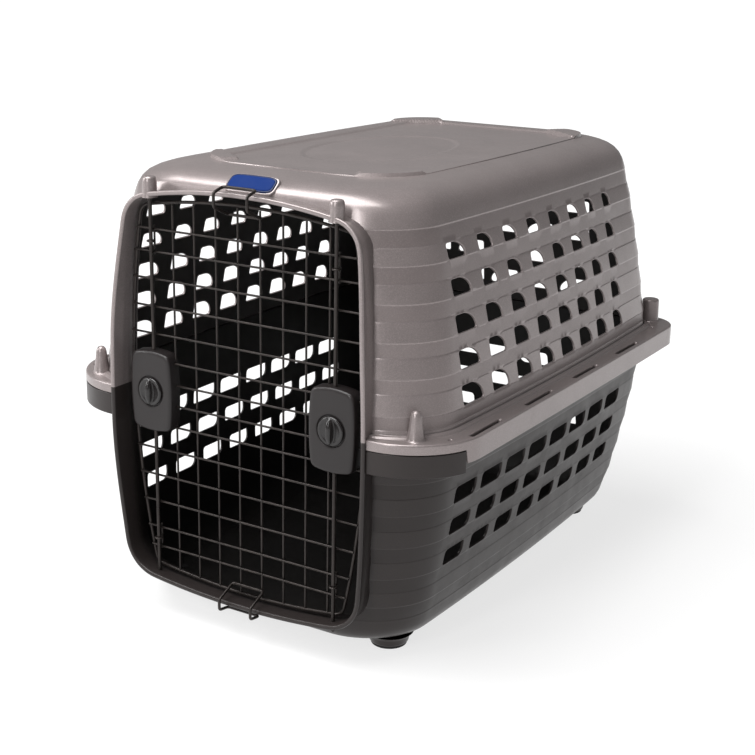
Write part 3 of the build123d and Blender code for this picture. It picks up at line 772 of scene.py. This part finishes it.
class Wall:
    """Wall skin builder that keeps the seam in the front door gap."""

    def __init__(self, shell, bands, vents, z_cut):
        self.shell, self.bands = shell, bands
        rows = wall_rows(shell, bands)
        half = U_TOTAL / 2
        self.lo, self.hi = SEGMENTS[1] / 2, SEGMENTS[1] / 2 + U_TOTAL
        grid = grid_points(np.linspace(self.lo, self.hi, 233), rows)
        loops = []
        for v in vents:
            loop = v.copy()
            loop[:, 0] = np.where(loop[:, 0] < self.lo, loop[:, 0] + U_TOTAL, loop[:, 0])
            loops.append(loop)
        self.vents = loops
        self.rings = [grow(v, 1.1) for v in loops]
        door = door_outline(2.0, 300)
        part = door[door[:, 1] > z_cut] if shell.up > 0 else door[door[:, 1] < z_cut]
        right, left = part[part[:, 0] >= 0], part[part[:, 0] < 0]
        clip = []
        for pts, side in ((right, 1), (left, -1)):
            pts = pts[np.argsort(pts[:, 1])]
            uv = shell.u_of_front(pts[:, 0], pts[:, 1])
            uv[:, 0] = np.where(uv[:, 0] < self.lo - 0.001, uv[:, 0] + U_TOTAL, uv[:, 0])
            if side < 0:
                uv[:, 0] = np.where(uv[:, 0] < half, uv[:, 0] + U_TOTAL, uv[:, 0])
            uv = uv[np.argsort(uv[:, 1])]
            middle = self.lo if side > 0 else self.hi
            apex_z = 536.0 if shell.up > 0 else 42.0
            apex = [middle, float(shell.t_of_z(np.array([apex_z]))[0])]
            loop = np.vstack([uv, [apex], [[middle, -9.0]], [[uv[0, 0], -9.0]]])
            loop[:, 1] = np.maximum(loop[:, 1], 0.0)
            clip.append(dedupe(loop))
        every = [ccw(loop) for loop in self.rings + clip]
        self.xy, self.faces, self.ids = triangulate(grid, every, [True] * len(every), 1.6)

    def skin(self, name, mats, body):
        """Both skins joined round the vents; mats are the outer, band and inside materials, the band and
        inside ones darker as painted shade.
        """
        shell = self.shell
        u, t = self.xy[:, 0], self.xy[:, 1]
        b = Build()
        outer = b.points(shell.outer(u, t), shell.outer_normal(u, t))
        b.tris(outer[self.faces], flip=shell.up < 0)
        inner_n = shell.raw_normal(shell.plain, u, t)
        inner = b.points(shell.inner(u, t), -inner_n)
        b.tris(inner[self.faces], flip=shell.up > 0)
        skins = len(self.faces)
        for k, vent in enumerate(self.vents):
            ids = self.ids[k]
            loop = ccw(self.rings[k])
            core = ccw(vent)
            n = shell.outer_normal(core[:, 0], core[:, 1])
            surface = shell.outer(core[:, 0], core[:, 1])
            ring_p = shell.outer(loop[:, 0], loop[:, 1])
            away = unit(ring_p - surface)
            side_n = -away
            mid = surface + away * 0.35 - n * 0.28
            mid_n = (n + side_n) / np.sqrt(2)
            lip = surface - n * 1.0
            foot = surface - n * (THICK - 0.4)
            rows_ids = [outer[ids]]
            for pts, nn in ((mid, mid_n), (lip, side_n), (foot, side_n)):
                rows_ids.append(b.points(pts, nn))
            rows_ids.append(inner[ids])
            b.strip(rows_ids, flip=shell.up < 0)
        obj = b.done(name, mats[0], body)
        for mat in mats[1:]:
            obj.data.materials.append(mat)
        verts = np.concatenate(b.v)
        marks = []
        for poly in obj.data.polygons:
            z = verts[list(poly.vertices)][:, 2].mean()
            # inner skin faces get the darker inside material, painted shade of the interior
            if skins <= poly.index < 2 * skins:
                marks.append(2)
            else:
                # faces within a band get the darker band material, painted shade of the tilted bands
                marks.append(1 if any(low + 0.4 < z < high - 0.4 for low, high in self.bands) else 0)
        obj.data.polygons.foreach_set("material_index", marks)
        return obj


def dedupe(loop):
    """Closed loop without doubled points."""
    keep = [0]
    for i in range(1, len(loop)):
        if np.hypot(*(loop[i] - loop[keep[-1]])) > 0.05:
            keep.append(i)
    loop = loop[keep]
    if np.hypot(*(loop[0] - loop[-1])) < 0.05:
        loop = loop[:-1]
    return loop


ROOF_Z = 556.8


def roof_height(x, y):
    """Roof surface: rim, sunk panel, oval dish with a crescent, and corner pads."""
    z = np.full_like(x, ROOF_Z)
    ax = np.abs(x)
    panel = np.minimum(np.minimum(126 - ax, y + 222), 276 - y)
    corner = 168 - (ax - 126 + 90) * 0.72 - (np.abs(y - 27) - 249 + 90) * 0.72
    z -= 2.6 * soft_step(np.minimum(panel, corner), 7.0)
    r = np.hypot(x / 104.0, (y - 26) / 178.0)
    dome = 1 - soft_step((r - 0.90) * 104, 16.0)
    z += 2.2 * dome * np.clip(1.15 - r, 0, 1)
    r2 = np.hypot((x + 14) / 92.0, (y + 10) / 150.0)
    z -= 1.5 * (1 - soft_step((r2 - 0.90) * 92, 7.0))
    for end, edge in ((-y, 226.0), (y, 281.0)):
        across = ((ax - 81) * 46 + (end - edge) * 59) / 74.8
        along = ((ax - 81) * 59 - (end - edge) * 46) / 74.8
        pad = soft_step(across, 3.6) * soft_step(along - 4, 5.0) * (1 - soft_step(along - 80, 5.0))
        z += (560.0 - z) * pad * (end > 0)
    return z


def inside_faces(obj, mat, first, last):
    """Gives a run of faces the darker inside material, which is painted shade of the interior."""
    obj.data.materials.append(mat)
    marks = [1 if first <= k < last else 0 for k in range(len(obj.data.polygons))]
    obj.data.polygons.foreach_set("material_index", marks)


def build_roof():
    """Roof patch inside the upper shell's last outline, both skins."""
    us = np.linspace(0, U_TOTAL, 300, endpoint=False)
    edge3 = UP.outer(us, np.full(300, UP.length))
    edge = edge3[:, :2]
    grid = grid_points(np.arange(-150, 151, 3.0), np.arange(-244, 300, 3.0))
    xy, faces, ids = triangulate(grid, [], [], 2.0, outer=ccw(edge))
    x, y = xy[:, 0], xy[:, 1]
    z = roof_height(x, y)
    e = 0.6
    dx = (roof_height(x + e, y) - roof_height(x - e, y)) / (2 * e)
    dy = (roof_height(x, y + e) - roof_height(x, y - e)) / (2 * e)
    n = unit(np.stack([-dx, -dy, np.ones_like(x)], 1))
    b = Build()
    top = b.points(np.stack([x, y, z], 1), n)
    b.tris(top[faces])
    low = b.points(np.stack([x, y, z - THICK], 1), -n)
    b.tris(low[faces], flip=True)
    outside = len(faces)
    # short skirt closes the step where a pad meets the crease
    rim = ids[0]
    p = np.stack([x[rim], y[rim], z[rim]], 1)
    out = lifted(unit(p[:, :2] - np.array([0, 26.0])), 0.25)
    a = b.points(p, out)
    c = b.points(lifted(p[:, :2] + out[:, :2] * 1.4, 555.6), out)
    b.strip([c, a])
    roof = b.done("roof_skin", TAUPE, "shell")
    # the roof's under skin takes the darker inside material, painted shade of the interior
    inside_faces(roof, TAUPE_INSIDE_PAINTED_SHADE, outside, 2 * outside)


def build_floor():
    """Flat underside and inside floor of the lower shell."""
    us = np.linspace(0, U_TOTAL, 300, endpoint=False)
    edge = LO.outer(us, np.full(300, LO.length))[:, :2]
    grid = grid_points(np.arange(-180, 181, 12.0), np.arange(-300, 300, 12.0))
    xy, faces, ids = triangulate(grid, [], [], 3.0, outer=ccw(edge))
    b = Build()
    x, y = xy.T
    low = b.points(lifted(xy, FLOOR_UNDER_Z), np.tile((0, 0, -1.0), (len(x), 1)))
    b.tris(low[faces], flip=True)
    rib = 0.8 * np.cos(y / 60.0 * 2 * math.pi)
    top = b.points(lifted(xy, FLOOR_TOP_Z + np.clip(rib, -0.5, 0.5)), np.tile((0, 0, 1.0), (len(x), 1)))
    b.tris(top[faces])
    floor = b.done("floor_skin", DARK, "shell", use_normals=False)
    # the floor's inner face takes the darker inside material, painted shade of the interior
    inside_faces(floor, DARK_INSIDE_PAINTED_SHADE, len(faces), 2 * len(faces))


def plan_outline(w, yf, yr, rf, rr, bow):
    """Flange-like plan outline, counter-clockwise from the front middle."""
    k = ARC_HANDLE
    ya, yc = yf + rf, yr - rr

    def side_x(y):
        return w - bow * (y / HALF_LENGTH) ** 2

    pts = []
    xf, xr = side_x(yf) - rf, side_x(yr) - rr
    pts += [(x, yf) for x in np.linspace(0, xf, 30)[:-1]]

    def bez(*ends):
        ends = [np.array(p) for p in ends]
        return [tuple(cubic(*ends, s)) for s in np.linspace(0, 1, 40)[:-1]]

    pts += bez((xf, yf), (xf + k * rf, yf), (side_x(ya), ya - k * rf), (side_x(ya), ya))
    pts += [(side_x(y), y) for y in np.linspace(ya, yc, 80)[:-1]]
    pts += bez((side_x(yc), yc), (side_x(yc), yc + k * rr), (xr + k * rr, yr), (xr, yr))
    pts += [(x, yr) for x in np.linspace(xr, 0, 30)]
    right = np.array(pts)
    left = right[1:-1][::-1] * np.array([-1, 1])
    return resample(np.vstack([right, left]), 4.0)


def flange_edge():
    """Outer edge of the mid flange with its outward normals in plan and in space."""
    count = 700
    outer = same_count(plan_outline(278.0, -352.0, 360.0, 92.0, 46.0, 2.0), count)
    nrm = loop_normals(outer)
    return count, outer, nrm, lifted(nrm, 0.0)


DOORWAY_HALF, DOORWAY_BACK = 179.0, -300


def drop_front(b):
    """Removes faces that would cross the doorway."""
    verts = np.concatenate(b.v)
    centres = [verts[list(f)].mean(0) for f in b.f]
    b.f = [f for f, c in zip(b.f, centres) if abs(c[0]) >= DOORWAY_HALF or c[1] >= DOORWAY_BACK]


SKIRT_STEP_Y = -287.5


def skirt_low(loop, high, low):
    """Lower edge height of a skirt that steps down behind the front corners."""
    d = loop[:, 1] - SKIRT_STEP_Y
    return np.where(d < -0.6, high, np.where(d > 0.6, low, (high + low) / 2))


def rect_loop(x0, x1, y0, y1):
    """Rectangle with small round corners."""
    r = 1.5
    return resample(rounded([(x0, y0, r), (x1, y0, r), (x1, y1, r), (x0, y1, r)], 4), 2.5)


TABS = [(-239.0 + 136.5 * i) for i in range(4)]


def build_upper_flange():
    """Upper flange: bead along the wall, flat ledge, rounded edge and skirt."""
    count, outer, nrm, n3 = flange_edge()
    b = Build()
    profile = [(3.0, UPPER_LEDGE_Z, 0.0), (1.6, 290.3, 0.35), (0.5, 289.3, 0.8), (0.0, 287.8, 1.0)]
    rings = []
    for inset, z, out in profile:
        nn = n3 * out + np.array([0, 0, math.sqrt(max(0, 1 - out * out))])
        rings.append(b.points(lifted(outer - nrm * inset, z), nn))
    low = skirt_low(outer, 278.4, 262.6)
    rings.append(b.points(lifted(outer, low + 0.8), n3))
    rings.append(b.points(lifted(outer - nrm * 0.8, low), n3 * 0.3 + np.array([0, 0, -0.95])))
    rings.append(b.points(lifted(outer - nrm * 2.6, low), np.tile((0, 0, -1.0), (count, 1))))
    rings.append(b.points(lifted(outer - nrm * 2.8, 287.0), -n3))
    b.strip(rings, flip=True)
    us = np.linspace(0, U_TOTAL, 500, endpoint=False)
    wall = UP.plain(us, np.zeros(500))[:, :2]
    wn = loop_normals(wall)
    bead = [(-1.0, 293.6, 0.9), (1.2, 293.4, 0.35), (2.6, 293.2, 0.2), (4.4, 292.3, 0.7),
            (5.6, 291.0, 0.75), (7.2, UPPER_LEDGE_Z, 0.1)]
    bead_rings = []
    for off, z, out in bead:
        bead_rings.append(b.points(lifted(wall + wn * off, z), lifted(wn * out, math.sqrt(1 - out * out))))
    b.strip(bead_rings, flip=True)
    grid = grid_points(np.arange(-270, 271, 9.0), np.arange(-345, 356, 9.0))
    holes = [ccw(wall + wn * bead[-1][0])]
    for y in TABS:
        for side in (1, -1):
            x0, x1 = sorted((side * 266.0, side * 273.0))
            holes.append(ccw(rect_loop(x0, x1, y - 37, y + 37)))
    for x, y in ((257, -299), (-257, -299), (257, 296), (-257, 296)):
        a = np.linspace(0, 2 * math.pi, 20, endpoint=False)
        holes.append(np.stack([x + 3.5 * np.cos(a), y + 3.5 * np.sin(a)], 1))
    xy, faces, ids = triangulate(grid, holes, [True] * len(holes), 1.2, outer=ccw(outer - nrm * 3.0))
    top = b.points(lifted(xy, UPPER_LEDGE_Z), np.tile((0, 0, 1.0), (len(xy), 1)))
    b.tris(top[faces])
    for k in range(1, len(holes)):
        loop = holes[k]
        ln = loop_normals(loop)
        rim = b.points(lifted(loop - ln * 0.4, 289.9), lifted(-ln, 0.4))
        deep = b.points(lifted(loop - ln * 0.4, 286.5), lifted(-ln, 0.0))
        b.strip([top[ids[k]], rim, deep])
    drop_front(b)
    b.done("upper_flange_skin", TAUPE, "shell")


def build_lower_flange():
    """Lower flange: ledge under the parting line and flush front corner skirts."""
    count, outer, nrm, n3 = flange_edge()
    front = outer[:, 1] < SKIRT_STEP_Y - 0.3
    inset = np.where(front, 0.2, 3.4)
    high = np.where(front, 277.7, LOWER_LEDGE_Z)
    low = np.where(front, 251.0, 268.0)
    b = Build()

    def ring(d, z, nn):
        return b.points(lifted(outer - nrm * (inset + d)[:, None], z), nn)

    up = np.tile((0, 0, 1.0), (count, 1))
    rings = [
        ring(3.0, high, up), ring(0.8, high, n3 * 0.3 + up * 0.95), ring(0.0, high - 0.8, n3),
        ring(0.0, low + 1.0, n3), ring(1.0, low, n3 * 0.3 - up * 0.95), ring(2.8, low, -up),
        ring(3.0, LOWER_LEDGE_Z, -n3),
    ]
    b.strip(rings, flip=True)
    us = np.linspace(0, U_TOTAL, count, endpoint=False)
    wall = LO.plain(us, np.zeros(count))[:, :2] - 0.5
    grid = grid_points(np.arange(-270, 271, 12.0), np.arange(-345, 356, 12.0))
    xy, faces, ids = triangulate(grid, [ccw(wall)], [True], 1.5, outer=ccw(outer - nrm * 3.2))
    flat = b.points(lifted(xy, LOWER_LEDGE_Z), np.tile((0, 0, -1.0), (len(xy), 1)))
    b.tris(flat[faces], flip=True)
    drop_front(b)
    b.done("lower_flange_skin", DARK, "shell")


def weld(obj):
    """Merges doubled points and makes the faces point outwards."""
    bm = bmesh.new()
    bm.from_mesh(obj.data)
    bmesh.ops.remove_doubles(bm, verts=bm.verts, dist=0.00001)
    bmesh.ops.recalc_face_normals(bm, faces=bm.faces)
    bm.to_mesh(obj.data)
    bm.free()
    obj.data.update()


def build_collar(low, high, name, mat):
    """Doorway collar with a rolled lip, for the heights low to high."""
    count = 720
    base = door_outline(0.0, count)
    nrm = loop_normals(base)
    profile = [
        (0.0, -312.0), (0.0, -330.0), (0.0, -353.2), (0.5, -354.8), (1.8, -355.5), (4.2, -355.5),
        (5.3, -354.9), (5.7, -353.6), (5.4, -351.9), (4.3, -350.6), (3.6, -349.0), (3.5, -336.0),
        (3.5, -312.0),
    ]
    pn = []
    for i in range(len(profile)):
        a = np.array(profile[max(i - 1, 0)])
        c = np.array(profile[min(i + 1, len(profile) - 1)])
        d = (c - a) / np.linalg.norm(c - a)
        pn.append((d[1], -d[0]))
    b = Build()
    rings = []
    lean = 13.0 * soft_step(base[:, 1] - 445, 190) + 8.0 * soft_step(150 - base[:, 1], 190)
    for (off, y), (no, ny) in zip(profile, pn):
        depth = y + lean * np.clip((-337.0 - y) / 14.0, 0, 1)
        pts = np.stack([base[:, 0] + nrm[:, 0] * off, depth, base[:, 1] + nrm[:, 1] * off], 1)
        nn = np.stack([nrm[:, 0] * no, np.full(count, ny), nrm[:, 1] * no], 1)
        rings.append(b.points(pts, nn))
    b.strip(rings + rings[:1])
    verts = np.concatenate(b.v)
    b.f = [f for f in b.f if low <= verts[list(f)][:, 2].mean() <= high]
    weld(b.done(name, mat, "shell", use_normals=False))


def lathe(name, profile, centre, mat, body):
    """Turned piece from (radius, height) points about an upright axis through centre."""
    count = 40
    a = np.linspace(0, 2 * math.pi, count, endpoint=False)
    verts = [(centre[0] + r * math.cos(ang), centre[1] + r * math.sin(ang), centre[2] + h)
             for r, h in profile for ang in a]
    faces = ring_faces(len(profile), count)
    faces.append(tuple(range((len(profile) - 1) * count, len(profile) * count)))
    return make_mesh(name, verts, faces, mat, body)


def wire_loop(name, points, radius, body, fillet):
    """Closed round wire through points, with its corners bent to a radius."""
    pts = [Vector(p) for p in points]
    path = []
    n = len(pts)
    for i, p in enumerate(pts):
        a, c = pts[i - 1] - p, pts[(i + 1) % n] - p
        la, lc = a.length, c.length
        a.normalize()
        c.normalize()
        half = math.acos(max(-1, min(1, a.dot(c)))) / 2
        cut = min(fillet / max(math.tan(half), 1e-3), 0.48 * la, 0.48 * lc)
        for k in range(7):
            s = k / 6
            path.append((1 - s) ** 2 * (p + a * cut) + 2 * s * (1 - s) * p + s**2 * (p + c * cut))
    curve = bpy.data.curves.new(name, "CURVE")
    curve.dimensions = "3D"
    spline = curve.splines.new("POLY")
    spline.points.add(len(path) - 1)
    for sp, p in zip(spline.points, path):
        sp.co = (p.x * MM, p.y * MM, p.z * MM, 1)
    spline.use_cyclic_u = True
    spline.use_smooth = True
    curve.bevel_depth = radius * MM
    curve.bevel_resolution = 4
    curve.use_fill_caps = False
    return place(name, curve, WIRE, body)


UP = Shell(UPPER, lambda z: stepped(z, UPPER_BANDS, 1 - soft_step(z - 519, 10)))
LO = Shell(LOWER, lambda z: stepped(z, LOWER_BANDS, soft_step(z - 44, 14)))
upper_vents = vent_loops(UP, UPPER_ROWS, UPPER_COLUMNS, upper_vent)
lower_vents = vent_loops(LO, LOWER_ROWS, LOWER_COLUMNS, lower_vent)

# the band and inside materials are darker copies that carry painted shade
upper_wall = Wall(UP, UPPER_BANDS, upper_vents, 290.5).skin(
    "upper_wall_skin", (TAUPE, TAUPE_BAND_PAINTED_SHADE, TAUPE_INSIDE_PAINTED_SHADE), "shell")
lower_wall = Wall(LO, LOWER_BANDS, lower_vents, 286.5).skin(
    "lower_wall_skin", (DARK, DARK_BAND_PAINTED_SHADE, DARK_INSIDE_PAINTED_SHADE), "shell")
build_roof()
build_floor()
build_upper_flange()
build_lower_flange()
build_collar(PARTING_Z, 600.0, "upper_collar_skin", TAUPE)
build_collar(0.0, PARTING_Z, "lower_collar_skin", DARK)
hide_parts("top_shell")
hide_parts("bottom_shell")

# ------------------------------------------------------------------ small shell pieces

SOCKET = [(9.6, 0), (8.7, 5), (8.5, 17), (8.0, 22), (7.0, 23.8), (5.5, 24.4), (0.5, 24.4)]
FOOT_CUP = [(30, 12.5), (27, 10.5), (25.2, 7), (24.0, 1.5), (23.4, 0.2), (21.8, 0.0), (0.5, 0.0)]
TOWER_HEIGHT = 32

for x, y, r, tag in ((226, -321, 7.2, "front"), (238, 334, 10.0, "rear")):
    for side in (1, -1):
        h = TOWER_HEIGHT
        if tag == "front":
            profile = [(r + 5.0, 0), (r + 3.4, 0.9), (r + 2.6, 3.0), (r + 0.4, h * 0.55), (r - 0.8, h - 4.5),
                       (r - 1.8, h - 1.2), (r - 3.6, h + 1.0), (r - 5.4, h + 1.7), (0.5, h + 2)]
        else:
            profile = [(r + 4.6, 0), (r + 3.2, 0.8), (r + 2.6, 2.4), (r + 2.0, h - 3), (r + 1.5, h - 1.0),
                       (r + 0.2, h), (r - 5.5, h), (0.5, h)]
        name = f"{tag}_tower_{'right' if side > 0 else 'left'}"
        lathe(name, profile, (side * x, y, 290.4), TAUPE, "shell")
for side in (1, -1):
    word = "right" if side > 0 else "left"
    lathe(f"rod_socket_{word}", SOCKET, (side * ROD_X, ROD_Y, 521.6), TAUPE, "shell")
    for y in (-252, 262):
        spot = "front" if y < 0 else "rear"
        lathe(f"foot_cup_{spot}_{word}", FOOT_CUP, (side * 157, y, 4.05), DARK, "shell")


def badge():
    """Plain bowed badge with a darker rim, seated on the front shoulder."""
    tilt = Matrix(((1, 0, 0), (0, 0.77, -0.64), (0, 0.64, 0.77))).to_4x4()
    frame_m = Matrix.Translation(Vector((1, -312.4, 547.0))) @ tilt
    n = 64
    half_width, half_height = 31.5, 11.2

    def outline(gain):
        pts = []
        for k in range(n):
            a = 2 * math.pi * k / n
            c, s = math.cos(a), math.sin(a)
            across = math.copysign(abs(c) ** 0.30, c)
            up = math.copysign(abs(s) ** 0.55, s)
            pts.append(((half_width + gain) * across, (half_height + gain) * up))
        return pts

    def stack(name, layers, mat):
        verts = []
        for gain, h in layers:
            for px, pz in outline(gain):
                lift = -0.9 * (px / 30) ** 2 * 0.6
                v = frame_m @ Vector((px, pz, h + lift))
                verts.append(tuple(v))
        faces = ring_faces(len(layers), n)
        faces.append(tuple(range((len(layers) - 1) * n, len(layers) * n)))
        return make_mesh(name, verts, faces, mat, "shell")

    seat = stack("badge_seat", [(3.0, -4.5), (2.6, 0.2), (1.6, 0.6)], TAUPE)
    stack("badge_rim", [(0.6, 0.3), (0.5, 1.4), (-0.3, 1.9), (-1.5, 1.7)], BADGE_RIM)
    face = stack("badge_face", [(-1.3, 1.2), (-1.6, 2.0), (-2.6, 2.3), (-5.0, 2.45), (-7.5, 2.5)], BADGE)
    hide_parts("badge")


badge()

# ------------------------------------------------------------------ door


CAD_LOOKS = (
    (WIRE, ("door_border_wire", "door_crosswires", "door_uprights", "rod_guides",
            "left_upper_rod", "left_lower_rod", "right_upper_rod", "right_lower_rod")),
    (LATCH, ("left_latch_back", "right_latch_back")),
    (DIAL, ("left_cam", "right_cam")),
    (STEEL, ("left_cam_clip", "right_cam_clip", "left_latch_screws", "right_latch_screws", "flange_screws")),
    (RUBBER, ("foot_pads",)),
)
for mat, names in CAD_LOOKS:
    for name in names:
        mesh = NODES[name].data
        mesh.materials.clear()
        mesh.materials.append(mat)


def stop_loop(name, node, bar_z, knee_z, lip_z, outer_z):
    """Closed stop wire bent round the doorway lip."""
    y0, y1, outer_y = -330.9, -358.2, -341.0
    side = [(y0, bar_z), (y1, knee_z), (y1, lip_z), (outer_y, outer_z)]
    left = [(-18.0, y, z) for y, z in side]
    right = [(28.0, y, z) for y, z in side]
    points = left + right[::-1]
    loop = wire_loop(name, points, 1.8, "door", 4.5)
    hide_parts(node)


stop_loop("upper_stop_wire", "upper_stop_loop", 513.0, 525.0, 541.0, 545.6)
stop_loop("lower_stop_wire", "lower_stop_loop", 62.0, 50.0, 36.5, 34.0)


def latch_outline(d, count=120):
    """Bowed latch housing outline about the dial, in (x, z)."""
    hw, hh = 31.0 + d, 50.0 + d
    cw, ch = hw - 3, hh - 4
    pts = []
    n = 16
    for sign in (1, -1):
        for x in [cw - (2 * cw) * k / n for k in range(n)]:
            pts.append((sign * x, sign * (hh - 4 * (x / cw) ** 2)))
        for z in [ch - 2 * ch * k / n for k in range(n)]:
            pts.append((-sign * (hw - 3 * (z / ch) ** 2), sign * z))
    return round_corners(np.array(pts), [0, n, 2 * n, 3 * n], [10 + d] * 4, count)


def build_latch(side):
    """Latch cover with a softened rim, a dished dial ring and the turn dial."""
    word = "right" if side > 0 else "left"
    cx, cz = side * ROD_X, DIAL_Z
    b = Build()
    count = 120

    def row(loop, y):
        pts = np.stack([cx + loop[:, 0], np.full(len(loop), y), cz + loop[:, 1]], 1)
        return b.points(pts, np.zeros((len(loop), 3)))

    def circle(r):
        a = np.linspace(0, 2 * math.pi, 60, endpoint=False)
        return np.stack([r * np.cos(a), r * np.sin(a)], 1)

    layers = [(0.0, -331.9), (0.0, -339.8), (-0.4, -341.2), (-1.4, -342.3), (-3.0, -342.9),
              (-5.0, LATCH_FACE_Y)]
    rings = [row(latch_outline(d, count), y) for d, y in layers]
    b.strip(rings, flip=True)
    face = latch_outline(-5.0, count)
    grid = grid_points(np.arange(-26, 27, 2.0), np.arange(-46, 47, 2.0))
    xy, faces, ids = triangulate(grid, [circle(19.6)], [True], 0.9, outer=ccw(face))
    flat = row(xy, LATCH_FACE_Y)
    b.tris(flat[faces])
    steps = ((19.2, -342.7), (18.7, -341.6), (18.3, -341.2), (17.8, -341.3), (4.9, -341.3))
    ring_ids = [flat[ids[0]]] + [row(circle(r), y) for r, y in steps]
    b.strip(ring_ids)
    cover = b.done(f"{word}_latch_cover_skin", LATCH, "door", use_normals=False)
    weld(cover)
    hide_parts(f"{word}_latch_cover")
    build_dial(word, cx, cz)


def build_dial(word, cx, cz):
    """Round dial with a shallow dish and a raised lens-shaped hand grip."""
    body = f"{word}_dial_body"
    verts = []
    radial, around = 34, 96
    rmax = 17.2

    def height(x, z):
        r = math.hypot(x, z)
        y = 1.6 - 1.1 * (1 - min(1, (r / 13.5) ** 4))
        edge = max(0.0, (r - 15.4) / 1.8)
        y -= 1.7 * edge ** 2.2
        w = 5.4 * math.sqrt(max(0.0, 1 - (z / 15.6) ** 2))
        if w > 0.2:
            q = abs(x) / w
            if q < 1:
                y += 7.4 * (1 - (abs(z) / 16.5) ** 2.6) * (1 - q ** 3.2)
        return y

    for i in range(radial):
        r = rmax * i / (radial - 1)
        for k in range(around):
            a = 2 * math.pi * k / around
            x, z = r * math.cos(a), r * math.sin(a)
            verts.append((cx + x, -343.6 - height(x, z), cz + z))
    back = ((rmax, -342.9), (16.4, -341.9), (4.5, -341.6), (4.5, -340.3))
    for r, y in back:
        for k in range(around):
            a = 2 * math.pi * k / around
            verts.append((cx + r * math.cos(a), y, cz + r * math.sin(a)))
    faces = ring_faces(radial + len(back), around)
    dial = make_mesh(f"{word}_dial_skin", verts, faces, DIAL, body)
    weld(dial)
    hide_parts(f"{word}_dial")


build_latch(1)
build_latch(-1)

# ------------------------------------------------------------------ shading of kept CAD nodes


SHARP_ANGLE = math.radians(38)

for name, obj in NODES.items():
    if obj.hide_render:
        continue
    mesh = obj.data
    mesh.polygons.foreach_set("use_smooth", [True] * len(mesh.polygons))
    bm = bmesh.new()
    bm.from_mesh(mesh)
    sharp = [e.index for e in bm.edges if len(e.link_faces) == 2 and e.calc_face_angle(0) > SHARP_ANGLE]
    bm.free()
    edges = mesh.attributes.get("sharp_edge")
    if edges is None:
        edges = mesh.attributes.new("sharp_edge", "BOOLEAN", "EDGE")
    for i in sharp:
        edges.data[i].value = True

# ------------------------------------------------------------------ stage, light, camera


def stage():
    """Flat floor lit from within so that it reads as white, less so near the carrier."""
    rows = (-8, 2.0, 45.0)
    verts = [(x, y, 0) for y in rows for x in (-30, 30)]
    faces = [(2 * i, 2 * i + 1, 2 * i + 3, 2 * i + 2) for i in range(len(rows) - 1)]
    mesh = bpy.data.meshes.new("stage_floor")
    mesh.from_pydata(verts, [], faces)
    mesh.polygons.foreach_set("use_smooth", [True] * len(mesh.polygons))
    obj = linked("stage_floor", mesh)
    obj.rotation_euler = (0, 0, math.radians(31))
    n = Nodes("mat_stage")
    base = n.coords()
    dust = n.noise(base, 3.0, 2.0, 0.5)
    tone = n.ramp(dust, "Fac", [(0.3, grey(0.24)), (0.7, grey(0.26))])
    n.link(tone, "Color", n.bsdf, "Base Color")
    n.bsdf.inputs["Roughness"].default_value = 0.9
    n.bsdf.inputs["Emission Color"].default_value = (1, 1, 1, 1)
    far = n.add("ShaderNodeTexGradient", gradient_type="SPHERICAL")
    n.link(n.coords(0.4), "Vector", far, "Vector")
    glow = n.ramp(far, "Fac", [(0.0, grey(1.0)), (0.75, grey(0.74))])
    n.link(glow, "Color", n.bsdf, "Emission Strength")
    mesh.materials.append(n.mat)


stage()


def area(name, origin, target, width, height, power):
    """Rectangular light aimed at a target."""
    light = bpy.data.lights.new(name, "AREA")
    light.energy = power
    light.shape = "RECTANGLE"
    light.size = width
    light.size_y = height
    obj = linked(name, light)
    obj.location = origin
    obj.rotation_euler = (Vector(target) - Vector(origin)).to_track_quat("-Z", "Y").to_euler()


area("key_top", (-0.7, -0.9, 3.0), (-0.1, -0.1, 0.4), 2.6, 2.2, 150)
area("left_soft", (-2.8, -1.8, 1.5), (0, 0, 0.3), 1.3, 1.3, 50)
area("corner_strip", (0.1, -3.3, 1.8), (0.2, -0.3, 0.4), 0.4, 2.0, 40)

WORLD_LIGHT, BACKDROP_LIGHT = 0.20, 1.15  # what lights the scene, and what the camera sees

world = bpy.data.worlds.new("studio")
bpy.context.scene.world = world
world.use_nodes = True
tree = world.node_tree
back = tree.nodes["Background"]
back.inputs["Color"].default_value = (1, 1, 1, 1)
back.inputs["Strength"].default_value = WORLD_LIGHT
backdrop = tree.nodes.new("ShaderNodeBackground")
backdrop.inputs["Color"].default_value = (1, 1, 1, 1)
backdrop.inputs["Strength"].default_value = BACKDROP_LIGHT
path = tree.nodes.new("ShaderNodeLightPath")
blend = tree.nodes.new("ShaderNodeMixShader")
tree.links.new(path.outputs["Is Camera Ray"], blend.inputs[0])
tree.links.new(back.outputs[0], blend.inputs[1])
tree.links.new(backdrop.outputs[0], blend.inputs[2])
tree.links.new(blend.outputs[0], tree.nodes["World Output"].inputs["Surface"])


CAMERA_PLACE = (957.9, -1602.3, 803.3)
AZIMUTH, PITCH, ROLL = 31.4, 16.7, 1.1
LENS, SENSOR = 68.37, 36


def camera():
    """Camera at the photograph's viewpoint."""
    az, pitch, roll = math.radians(AZIMUTH), math.radians(PITCH), math.radians(ROLL)
    fw = Vector((-math.sin(az) * math.cos(pitch), math.cos(az) * math.cos(pitch), -math.sin(pitch)))
    right = Vector((math.cos(az), math.sin(az), 0))
    up = right.cross(fw)
    r = math.cos(roll) * right + math.sin(roll) * up
    u = -math.sin(roll) * right + math.cos(roll) * up
    cam = bpy.data.cameras.new("camera")
    cam.lens = LENS
    cam.sensor_width = SENSOR
    cam.clip_end = 50
    obj = linked("camera", cam)
    m = Matrix((r, u, -fw)).transposed().to_4x4()
    m.translation = Vector(CAMERA_PLACE) * MM
    obj.matrix_world = m
    bpy.context.scene.camera = obj


camera()
bpy.context.scene.view_settings.view_transform = "Standard"
